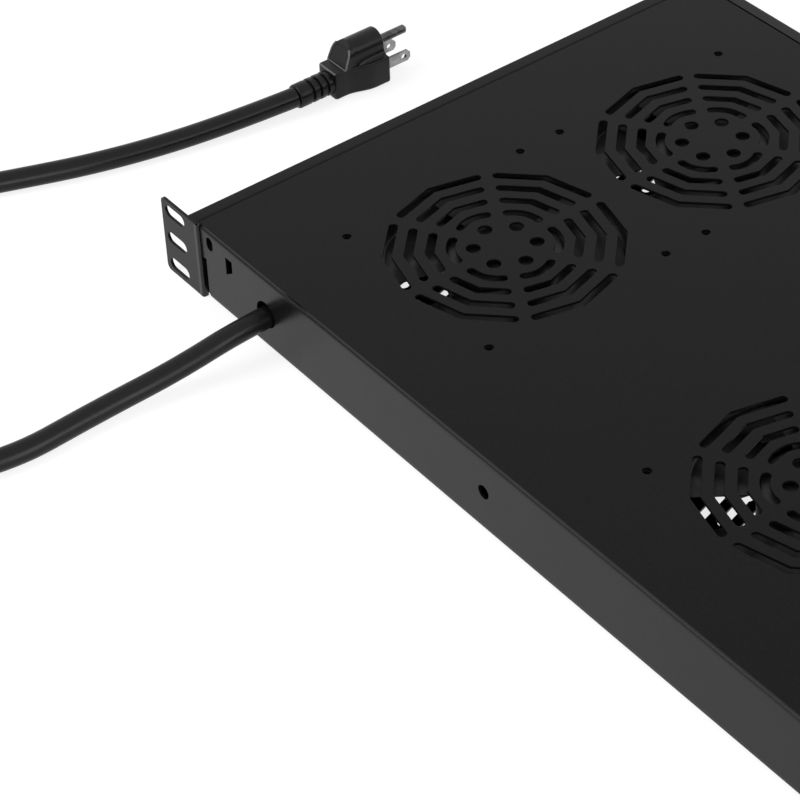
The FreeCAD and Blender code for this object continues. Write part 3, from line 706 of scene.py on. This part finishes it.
def add_bottom_cover():
    """Lower cover between the rails, under the lower returns of the front and rear panels."""
    side = -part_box("side_rail_left")[1].x - BOTTOM_SIDE_GAP
    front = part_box("front_panel")[0].y + BOTTOM_FRONT_GAP
    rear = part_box("rear_panel")[1].y - BOTTOM_REAR_GAP
    outline = rectangle(-side, front, side, rear)
    cover = vented_sheet("bottom_cover", outline, BOTTOM_LOW, BOTTOM_HIGH)


add_bottom_cover()

# ---------------------------------------------------------------- fans

FAN_HALF = 0.060
FAN_CORNER = 0.005
FAN_FLANGE = 0.0036
FAN_BORE = 0.0575
FAN_WALL = 0.0022
STRUT_TURN = -13.0  # degrees
STRUTS = (0.012, 0.007, 0.007, 0.007)  # widths, a quarter turn apart
STRUT_HEIGHT = 0.003
STRUT_CHAMFER = 0.8  # share of the width and the height that stays
MOTOR_BASE = 0.027
STRUT_START = 0.9 * MOTOR_BASE
BEARING_TUBE = 0.0065
BEARING = 0.0041
SHAFT = 0.0014
ROTOR_RADIUS = 0.028
ROTOR_WALL = 0.0025
ROTOR_EDGE = 0.0018
CUP_DISH = 0.008
CUP_DISH_SIDE = 0.0006
BLADES = 5
BLADE_TIP = 0.0563
BLADE_ROOT_X = 0.0255
BLADE_TIP_X = 0.0575
BLADE_CHORDS = (0.034, 0.070)  # at the root and at the tip
BLADE_RISE = 0.0165
BLADE_UNTWIST = 0.002
BLADE_CAMBER = 0.004
BLADE_THICK = 0.0016
BLADE_THINNING = 0.7
REST_TURNS = (5, 57, 7, 40)  # degrees, one for each fan


def frame_shapes(depth, tube_top):
    """Fan frame about its axis: two flanges, the round wall, the struts and the motor's base."""
    square = rounded_corners(FAN_HALF, FAN_HALF, [FAN_CORNER] * 4, 6)
    holes = [circle(0, 0, FAN_BORE, 72)]
    holes += [circle(*place, SCREW_HOLE, 16) for place in screw_places()]
    shapes = [
        sheet_shape(square, holes, 0, FAN_FLANGE, RIM * 2),
        sheet_shape(square, holes, depth - FAN_FLANGE, depth, RIM * 2),
    ]
    inside, outside = FAN_BORE, FAN_BORE + FAN_WALL
    low, high = FAN_FLANGE / 2, depth - FAN_FLANGE / 2
    shapes.append(lathe([(inside, low), (outside, low), (outside, high), (inside, high)], 72))
    edge = RIM * 3
    base = [
        (BEARING, 0), (MOTOR_BASE - edge, 0), (MOTOR_BASE, edge), (MOTOR_BASE, STRUT_HEIGHT),
        (BEARING_TUBE + edge, STRUT_HEIGHT), (BEARING_TUBE, STRUT_HEIGHT + edge),
        (BEARING_TUBE, tube_top), (BEARING, tube_top), (BEARING, STRUT_HEIGHT / 2),
    ]
    shapes.append(lathe(base, 48))
    shapes.append(block(-BEARING, BEARING, -BEARING, BEARING, 0, STRUT_HEIGHT / 2))
    reach = (STRUT_START, FAN_BORE + FAN_WALL / 2)
    shoulder = STRUT_HEIGHT * STRUT_CHAMFER
    for quarter, width in enumerate(STRUTS):
        half = width / 2
        crest = half * STRUT_CHAMFER
        section = [
            (half, 0), (half, shoulder), (crest, STRUT_HEIGHT),
            (-crest, STRUT_HEIGHT), (-half, shoulder), (-half, 0),
        ]
        ends = [[(x, y, z) for y, z in section] for x in reach]
        shapes.append(placed(loft(ends), STRUT_TURN + 90 * quarter))
    return shapes


def blade_shape(middle_height):
    """One blade on the X axis.

    With t the share of the way from BLADE_ROOT_X to BLADE_TIP_X and v the share across
    the chord, the lower face is z = low(t) + rise(t) v + 4 camber v (1 - v). Both edges
    are straight lines, so at the radius r they stand at the angle lean + asin(gap / r).
    With a from -1 to 1 across the chord, the thickness falls off as 1 - thinning a^6.
    """
    slope = (BLADE_CHORDS[1] - BLADE_CHORDS[0]) / 2 / (BLADE_TIP_X - BLADE_ROOT_X)
    lean = math.atan(slope)
    gap = (BLADE_CHORDS[0] / 2 - slope * BLADE_ROOT_X) * math.cos(lean)
    low_root = middle_height - BLADE_RISE / 2
    across = np.linspace(-1, 1, 13)
    sections = []
    for radius in np.linspace(ROTOR_RADIUS - ROTOR_WALL / 2, BLADE_TIP, 7):
        angle = (lean + math.asin(gap / radius)) * across
        x, y = radius * np.cos(angle), radius * np.sin(angle)
        t = (x - BLADE_ROOT_X) / (BLADE_TIP_X - BLADE_ROOT_X)
        v = (across + 1) / 2
        rise = BLADE_RISE - BLADE_THICK - 2 * BLADE_UNTWIST * t
        lower = low_root + BLADE_UNTWIST * t + rise * v + 4 * BLADE_CAMBER * v * (1 - v)
        thick = BLADE_THICK * (1 - BLADE_THINNING * across ** 6)
        middle = lower + BLADE_THICK / 2
        under = np.stack((x, y, middle - thick / 2), axis=1)
        over = np.stack((x, y, middle + thick / 2), axis=1)[::-1]
        sections.append(np.concatenate((under, over)))
    return loft(sections)


def rotor_shapes(floor, top):
    """Rotor cup with its blades about the fan's axis."""
    wall = ROTOR_RADIUS - ROTOR_WALL
    under = top - ROTOR_WALL
    rim = arc((ROTOR_RADIUS - ROTOR_EDGE, top - ROTOR_EDGE), ROTOR_EDGE, 90, 0, 5)
    dish = top - CUP_DISH_SIDE
    cup = [
        (SHAFT, dish), (CUP_DISH, dish), (CUP_DISH + CUP_DISH_SIDE, top), *rim,
        (ROTOR_RADIUS, floor), (wall, floor), (wall, under), (SHAFT, under),
    ]
    shapes = [lathe(cup, 60)]
    blade = blade_shape((floor + top) / 2)
    return shapes + [placed(blade, 360 / BLADES * number) for number in range(BLADES)]


def add_fans():
    """Round frames and smooth rotors in place of the few-sided solids."""
    for number, turn in zip(FANS, REST_TURNS):
        centre = fan_centre(number)
        frame_low, frame_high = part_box(f"fan_frame_{number}")
        rotor_low, rotor_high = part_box(f"impeller_{number}")
        sleeve_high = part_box(f"fan_bearing_{number}")[1]
        floor = frame_low.z
        at = (centre.x, centre.y, floor)
        shapes = frame_shapes(frame_high.z - floor, sleeve_high.z - floor)
        standing = [placed(shape, 0, at) for shape in shapes]
        housing = mesh_piece(f"fan_housing_{number}", standing, PLASTIC)
        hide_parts(f"fan_frame_{number}")
        shapes = rotor_shapes(rotor_low.z - floor, rotor_high.z - floor)
        turned = [placed(shape, turn, at) for shape in shapes]
        rotor = mesh_piece(f"fan_rotor_{number}", turned, PLASTIC, f"rotor_{number}")
        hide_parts(f"impeller_{number}")


add_fans()

# ---------------------------------------------------------------- fan screws

SCREW_DOME = (
    (0.0012, -0.0015), (0.0015, -0.0024), (0.0028, -0.0021), (0.0038, -0.0012), (0.0041, 0.0),
)
SCREW_SHANK = 0.0020
SCREW_AXIS = 0.0004
SCREW_DEPTH = 0.003
SCREW_TIP = 0.0005


def add_fan_screws():
    """Fan screws with domed heads under the frames; their tips stay below the cover's top.

    SCREW_DOME holds radii and heights from the frame's lower face: the head's recess,
    then its dome.
    """
    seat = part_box("fan_frame_1")[0].z
    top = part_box("top_cover")[1].z - SCREW_DEPTH
    profile = [(SCREW_AXIS, seat + SCREW_DOME[0][1])]
    profile += [(radius, seat + height) for radius, height in SCREW_DOME]
    profile += [
        (SCREW_SHANK, seat), (SCREW_SHANK, top - SCREW_TIP),
        (SCREW_SHANK - SCREW_TIP, top), (SCREW_AXIS, top),
    ]
    screw = lathe(profile, 20)
    shapes = []
    for number in FANS:
        centre = fan_centre(number)
        shapes += [placed(screw, 0, (*place, 0)) for place in screw_places(centre.x, centre.y)]
    screws = mesh_piece("fan_fixing_screws", shapes, COAT)
    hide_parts("fan_screws")


add_fan_screws()

# ---------------------------------------------------------------- plug

PLUG_EDGES = (0.0009, 0.0009, 0.0022, 0.0022)  # two upper corners, two lower ones
PLUG_BACK_HALF = 0.00775
PLUG_WAIST = 0.007
PLUG_STRAIGHT = 0.009
PLUG_ROUND = 0.0012
PLUG_FACE_EDGE = 0.0004
PLUG_HEIGHT = 0.0165
HUMP_RADIUS = 0.0075
HUMP_ROOT = 0.004
HUMP_CREST = 0.019
HUMP_HEEL = 0.0064
HUMP_LEAN = 0.0044
HUMP_SHOULDER = 0.0025
HUMP_SUNK = 0.0003
HUMP_FACE_EDGE = 0.0006
HUMP_FACE_SLOPE = 0.7
SWEEP_FOOT = (0.0001, -0.0004)
SWEEP_PULL = (0.0004, 0.0002)
SWEEP_DROP = 0.0008
CREST_GAP = 0.00002
LIP = 0.00055
LIP_BACK = (0.001, 0.0005, 0.0005)
RIB_PITCH = 0.0046
RIB_GROOVE = 0.0017
# Distances back from the edge, each with its change of radius.
RIB_EDGE = ((0.0003, 0.0), (0.0, -0.0004), (-0.0001, -0.0015))
RIBS = 3
RELIEF_RADII = (0.0067, 0.0066)
RELIEF_END = ((0.0008, 0.0), (0.0003, -0.0002), (0.0, -0.0007))
RELIEF_SUNK = 0.0005
RELIEF_GRIP = 0.0004

plug_low, plug_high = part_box("plug_body")
PLUG_X = (plug_low.x + plug_high.x) / 2
PLUG_BACK = plug_low.y
PLUG_LENGTH = plug_high.y - plug_low.y
PLUG_FRONT_HALF = (plug_high.x - plug_low.x) / 2
SHOULDER_PLACE = HUMP_HEEL + HUMP_LEAN
CREST_PLACE = PLUG_LENGTH - HUMP_CREST

# A station is the distance of a section from the plug's back.


def plug_half(station):
    """Half width of the plug: a step 3 s^2 - 2 s^3 between the waist and the flare's end."""
    share = (station - PLUG_WAIST) / (PLUG_LENGTH - PLUG_STRAIGHT - PLUG_WAIST)
    share = np.clip(share, 0, 1)
    return PLUG_BACK_HALF + (PLUG_FRONT_HALF - PLUG_BACK_HALF) * (3 * share ** 2 - 2 * share ** 3)


def plug_base_sections():
    """Round-cornered upright sections of the plug's lower half, from its back to its face."""
    stations = np.concatenate((
        [0.0, PLUG_FACE_EDGE, PLUG_ROUND],
        np.linspace(PLUG_WAIST, PLUG_LENGTH - PLUG_STRAIGHT, 9),
        [PLUG_LENGTH - PLUG_FACE_EDGE, PLUG_LENGTH],
    ))
    middle = PLUG_HEIGHT / 2
    sections = []
    for station in stations:
        back = max(PLUG_ROUND - station, 0)
        back_inset = PLUG_ROUND - math.sqrt(PLUG_ROUND ** 2 - back ** 2)
        inset = max(back_inset, station - (PLUG_LENGTH - PLUG_FACE_EDGE))
        outline = rounded_corners(plug_half(station) - inset, middle - inset, PLUG_EDGES, 5)
        sections.append([(PLUG_X + x, PLUG_BACK + station, middle + z) for x, z in outline])
    return sections


def hump_top(station):
    """Height at which the thumb rest cuts the hump off."""
    places = [HUMP_HEEL, SHOULDER_PLACE, CREST_PLACE]
    crest = plug_high.z
    return np.interp(station, places, [PLUG_HEIGHT - HUMP_SUNK, crest - HUMP_SHOULDER, crest])


def hump_side(station):
    """Half outline of the hump without its cut, from the base's edge up to the crest.

    A concave sweep (a quadratic curve) leaves the base's edge and runs into a half circle.
    The SWEEP values say how far its foot, its pulling point and its end stand off them.
    """
    middle = plug_high.z - HUMP_RADIUS
    least = HUMP_RADIUS + SWEEP_FOOT[0]
    edge = np.array([max(plug_half(station) - PLUG_EDGES[0], least), PLUG_HEIGHT + SWEEP_FOOT[1]])
    join = np.array([HUMP_RADIUS, middle - SWEEP_DROP])
    pull = np.array([HUMP_RADIUS + SWEEP_PULL[0], PLUG_HEIGHT + SWEEP_PULL[1]])
    t = np.linspace(0, 1, 9)[:, None]
    sweep = (1 - t) ** 2 * edge + 2 * t * (1 - t) * pull + t ** 2 * join
    cap = arc((0, middle), HUMP_RADIUS, 0, 90, 16)
    foot = [(edge[0], PLUG_HEIGHT - HUMP_ROOT)]
    return np.concatenate((foot, sweep, cap))


def cut_width(station):
    """Half width of the hump at the height of its cut."""
    side = hump_side(station)
    return np.interp(hump_top(station), side[1:, 1], side[1:, 0])


def hump_sections():
    """Upright sections of the hump, each cut off flat at its own height by the thumb rest.

    Every half outline is resampled at 26 even steps up its side and 7 across its cut.
    """
    face = PLUG_LENGTH - HUMP_FACE_EDGE
    stations = np.concatenate((
        np.linspace(HUMP_HEEL, SHOULDER_PLACE, 9), np.linspace(SHOULDER_PLACE, CREST_PLACE, 5)[1:],
        np.linspace(CREST_PLACE, face, 8)[1:], [PLUG_LENGTH],
    ))
    sections = []
    for station in stations:
        side = hump_side(station)
        top = min(hump_top(station), plug_high.z - CREST_GAP)
        inset = max(station - face, 0) * HUMP_FACE_SLOPE
        kept = side[side[:, 1] < top]
        outline = np.concatenate((kept, [(cut_width(station), top)]))
        run = np.cumsum(np.linalg.norm(np.diff(outline, axis=0), axis=1))
        run = np.concatenate(([0], run))
        steps = np.linspace(0, run[-1], 26)
        half = np.stack([np.interp(steps, run, outline[:, k]) for k in (0, 1)], axis=1)
        flat = np.stack((np.linspace(half[-1, 0], 0, 8)[1:], np.full(7, top)), axis=1)
        half = np.concatenate((half, flat)) - [inset, inset]
        half[:, 0] = np.maximum(half[:, 0], 0)
        whole = np.concatenate((half, (half * [-1, 1])[::-1][1:]))
        sections.append([(PLUG_X + x, PLUG_BACK + station, z) for x, z in whole])
    return sections


def thumb_lip():
    """Moulded beads up both sides of the thumb rest, at its foot and on the plug's back edge."""
    stations = np.linspace(HUMP_HEEL, SHOULDER_PLACE, 14)
    rise = [(cut_width(t), PLUG_BACK + t, hump_top(t)) for t in stations]
    left = [(PLUG_X - x, y, z) for x, y, z in rise]
    right = [(PLUG_X + x, y, z) for x, y, z in rise]
    half = PLUG_BACK_HALF - LIP_BACK[0]
    y, z = PLUG_BACK + LIP_BACK[1], PLUG_HEIGHT - LIP_BACK[2]
    back = [(PLUG_X - half, y, z), (PLUG_X + half, y, z)]
    return [tube(line, LIP) for line in (left, right, [left[0], right[0]], back)]


def relief_shape():
    """Ribbed strain relief, turned about the lead's axis: ribs with a groove after each."""
    low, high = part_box("plug_strain_relief")
    length = high.y - low.y
    outer = [(-RELIEF_SUNK, 0)]
    for rib in range(RIBS):
        groove = (rib + 1) * RIB_PITCH - RIB_GROOVE
        back = groove + RIB_GROOVE
        outer += [(groove - inward, depth) for inward, depth in RIB_EDGE]
        outer += [(back + inward, depth) for inward, depth in RIB_EDGE[::-1]]
    outer += [(length - inward, depth) for inward, depth in RELIEF_END]
    profile = [(np.interp(d, (0, length), RELIEF_RADII) + depth, d) for d, depth in outer]
    profile += [(CORD_R - RELIEF_GRIP, length), (CORD_R - RELIEF_GRIP, -RELIEF_SUNK)]
    points, faces = lathe(profile, 40)
    x, z, back = points.reshape(-1, 3).T
    return np.stack((PLUG_X + x, PLUG_BACK - back, PLUG_HEIGHT / 2 + z), axis=1), faces


def add_plug():
    """Moulded plug, the beads of its thumb rest in lighter pvc as a painted highlight, and its
    ribbed strain relief.
    """
    shapes = [loft(plug_base_sections()), loft(hump_sections())]
    body = mesh_piece("moulded_plug", shapes, PVC, smooth_angle=32.0)
    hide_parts("plug_body")
    # The beads wear the lighter pvc, a painted highlight along the thumb rest's edges.
    lip = mesh_piece("plug_lip", thumb_lip(), PVC_PAINTED_HIGHLIGHT)
    sleeve = mesh_piece("plug_sleeve", [relief_shape()], PVC, smooth_angle=40.0)
    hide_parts("plug_strain_relief")


# ---------------------------------------------------------------- mains lead

CORD = 0.011
CORD_R = CORD / 2
coil_low, coil_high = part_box("mains_lead_coil")
COIL_CENTRE = (coil_low + coil_high) / 2
COIL_OUTER = (coil_high.x - coil_low.x) / 2
OUTER_TURN = COIL_OUTER - CORD_R
INNER_TURN = OUTER_TURN - CORD
COIL_START = -75.0  # degrees
COIL_STEP = math.radians(20.0)

WALL_END = [
    (-0.1591, -0.1430, 0.01955),
    (-0.1591, -0.1770, 0.01955),
    (-0.1634, -0.2120, 0.0105),
    (-0.1676, -0.2520, 0.0056),
    (-0.1645, -0.3060, 0.0055),
    (-0.1890, -0.3580, 0.0055),
    (-0.2400, -0.3880, 0.0055),
]
PLUG_END = [
    (-0.3705, -0.2840, 0.0130),
    (-0.3660, -0.2380, 0.0055),
    (-0.3470, -0.1930, 0.0055),
    (-0.3280, -0.1430, 0.0055),
    (-0.3155, -0.0840, 0.0055),
    (-0.3087, -0.0382, 0.00825),
]


def coil_turns():
    """Points of the coil, clockwise from above, on a circle about its centre.

    Turns follow one another: outer low, inner low, inner high, outer high. The radius and
    the height each change over a sixth of a turn, at places that keep crossing stretches
    one diameter apart. Points stand a little outside the circle, since the spline cuts
    inside them by about half of 1 - cos(step / 2).
    """
    stops = [0.0, 300.0, 360.0, 600.0, 660.0, 900.0, 960.0, 1185.0]
    radii = [OUTER_TURN] * 2 + [INNER_TURN] * 4 + [OUTER_TURN] * 2
    heights = [CORD_R] * 4 + [CORD_R + CORD] * 4
    swept = np.arange(10.0, 1180.0, math.degrees(COIL_STEP))
    angle = np.radians(COIL_START - swept)
    radius = np.interp(swept, stops, radii) * (1 + (1 - math.cos(COIL_STEP / 2)) / 2)
    height = np.interp(swept, stops, heights)
    x = COIL_CENTRE.x + radius * np.cos(angle)
    y = COIL_CENTRE.y + radius * np.sin(angle)
    return np.stack((x, y, height), axis=1)


def add_lead():
    """The lead is one spline: wall end, coil, plug end."""
    route = WALL_END + coil_turns().tolist() + PLUG_END
    data = bpy.data.curves.new("mains_lead", "CURVE")
    data.dimensions = "3D"
    spline = data.splines.new("NURBS")
    spline.points.add(len(route) - 1)
    for point, place in zip(spline.points, route):
        point.co = (*place, 1.0)
    spline.order_u = 3
    spline.use_endpoint_u = True
    spline.resolution_u = 12
    data.bevel_depth = CORD_R
    data.bevel_resolution = 8
    data.use_fill_caps = True
    data.materials.append(PVC)
    lead = bpy.data.objects.new("mains_lead", data)
    bpy.context.scene.collection.objects.link(lead)
    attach(lead, "tray")
    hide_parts("mains_lead_wall_end", "mains_lead_coil", "mains_lead_plug_end")


# ---------------------------------------------------------------- coil strap

STRAP_ANGLE = -140.0  # degrees
STRAP_WIDTH = 0.010
STRAP_THICK = 0.0008
STRAP_GAP = 0.0002


def strap_loop(gap):
    """Outline at a distance from the four stretches' sides, in radius and height."""
    half_x = (OUTER_TURN - INNER_TURN) / 2 + CORD_R + gap
    half_z = CORD + gap
    middle = ((OUTER_TURN + INNER_TURN) / 2, CORD)
    return rounded_corners(half_x, half_z, [CORD_R + gap] * 4, 6) + middle


def add_strap():
    """Strap round the coil's four stretches, where they all run side by side."""
    angle = math.radians(STRAP_ANGLE)
    outward_way = np.array([math.cos(angle), math.sin(angle), 0])
    along_way = np.array([-math.sin(angle), math.cos(angle), 0])
    centre = np.array([COIL_CENTRE.x, COIL_CENTRE.y, 0])
    inner, outer = strap_loop(STRAP_GAP), strap_loop(STRAP_GAP + STRAP_THICK)
    sections = []
    for line, side in ((inner, -1), (outer, -1), (outer, 1), (inner, 1)):
        places = centre + line[:, :1] * outward_way + line[:, 1:] * np.array([0, 0, 1])
        sections.append(places + along_way * (side * STRAP_WIDTH / 2))
    faces = grid_faces(len(sections), len(inner), True, True)
    strap = mesh_piece("coil_strap", [(sections, faces)], PLASTIC)


add_strap()
add_plug()
add_lead()

# ---------------------------------------------------------------- floor, world and light

FILL_STRENGTH = 0.55
FLOOR_REACH = 6.0
FLOOR_DROP = 0.0002
FLOOR_GREY = 0.9
SHADOW_GREY = 0.3
FLOOR_GLOW = 0.8


def light_path_mix(tree, first, second):
    """Second shader for camera, glossy and transmission rays, first for all others."""
    path = tree.nodes.new("ShaderNodeLightPath")
    seen = path.outputs["Is Camera Ray"]
    for kind in ("Is Glossy Ray", "Is Transmission Ray"):
        either = tree.nodes.new("ShaderNodeMath")
        either.operation = "MAXIMUM"
        tree.links.new(seen, either.inputs[0])
        tree.links.new(path.outputs[kind], either.inputs[1])
        seen = either.outputs[0]
    mix = tree.nodes.new("ShaderNodeMixShader")
    tree.links.new(seen, mix.inputs["Fac"])
    tree.links.new(first, mix.inputs[1])
    tree.links.new(second, mix.inputs[2])
    return mix.outputs["Shader"]


def background(tree, strength):
    """White background of the given strength."""
    light = tree.nodes.new("ShaderNodeBackground")
    light.inputs["Color"].default_value = (1.0, 1.0, 1.0, 1.0)
    light.inputs["Strength"].default_value = strength
    return light.outputs["Background"]


def add_world():
    """Even soft light, and plain white where the background is seen."""
    world = bpy.data.worlds.new("studio")
    bpy.context.scene.world = world
    world.use_nodes = True
    tree = world.node_tree
    tree.nodes.clear()
    output = tree.nodes.new("ShaderNodeOutputWorld")
    mixed = light_path_mix(tree, background(tree, FILL_STRENGTH), background(tree, 1.0))
    tree.links.new(mixed, output.inputs["Surface"])


def add_floor():
    """Pale floor: seen as white, with the object's shadow as a soft grey."""
    mesh = bpy.data.meshes.new("floor")
    corners = rectangle(-FLOOR_REACH, -FLOOR_REACH, FLOOR_REACH, FLOOR_REACH)
    mesh.from_pydata([(x, y, -FLOOR_DROP) for x, y in corners], [], [(0, 1, 2, 3)])
    floor = bpy.data.objects.new("floor", mesh)
    bpy.context.scene.collection.objects.link(floor)
    material = bpy.data.materials.new("pale floor")
    material.use_nodes = True
    tree = material.node_tree
    surface = tree.nodes["Principled BSDF"]
    surface.inputs["Base Color"].default_value = (FLOOR_GREY, FLOOR_GREY, FLOOR_GREY, 1.0)
    surface.inputs["Roughness"].default_value = 0.9
    surface.inputs["Specular IOR Level"].default_value = 0.0
    shadow = tree.nodes.new("ShaderNodeBsdfDiffuse")
    shadow.inputs["Color"].default_value = (SHADOW_GREY, SHADOW_GREY, SHADOW_GREY, 1.0)
    glow = tree.nodes.new("ShaderNodeEmission")
    glow.inputs["Strength"].default_value = FLOOR_GLOW
    both = tree.nodes.new("ShaderNodeAddShader")
    tree.links.new(shadow.outputs["BSDF"], both.inputs[0])
    tree.links.new(glow.outputs["Emission"], both.inputs[1])
    mixed = light_path_mix(tree, surface.outputs["BSDF"], both.outputs["Shader"])
    tree.links.new(mixed, tree.nodes["Material Output"].inputs["Surface"])
    mesh.materials.append(material)


def add_lamp(name, place, target, size, power):
    """Square soft lamp aimed at a point."""
    data = bpy.data.lights.new(name, "AREA")
    data.shape = "SQUARE"
    data.size = size
    data.energy = power
    lamp = bpy.data.objects.new(name, data)
    lamp.location = place
    aim = Vector(target) - Vector(place)
    lamp.rotation_euler = aim.to_track_quat("-Z", "Y").to_euler()
    bpy.context.scene.collection.objects.link(lamp)


add_world()
add_floor()
add_lamp("key", (-1.2, -1.8, 2.4), (0, 0, 0), 1.6, 38.0)
add_lamp("front", (-0.5, -2.4, 0.5), (-0.2, -0.25, 0.02), 1.0, 7.0)
add_lamp("side", (2.1, 0.5, 0.65), (-0.1, -0.2, 0.02), 1.6, 26.0)
add_lamp("near_side", (1.9, -1.1, 0.6), (-0.33, -0.2, 0.01), 1.1, 14.0)
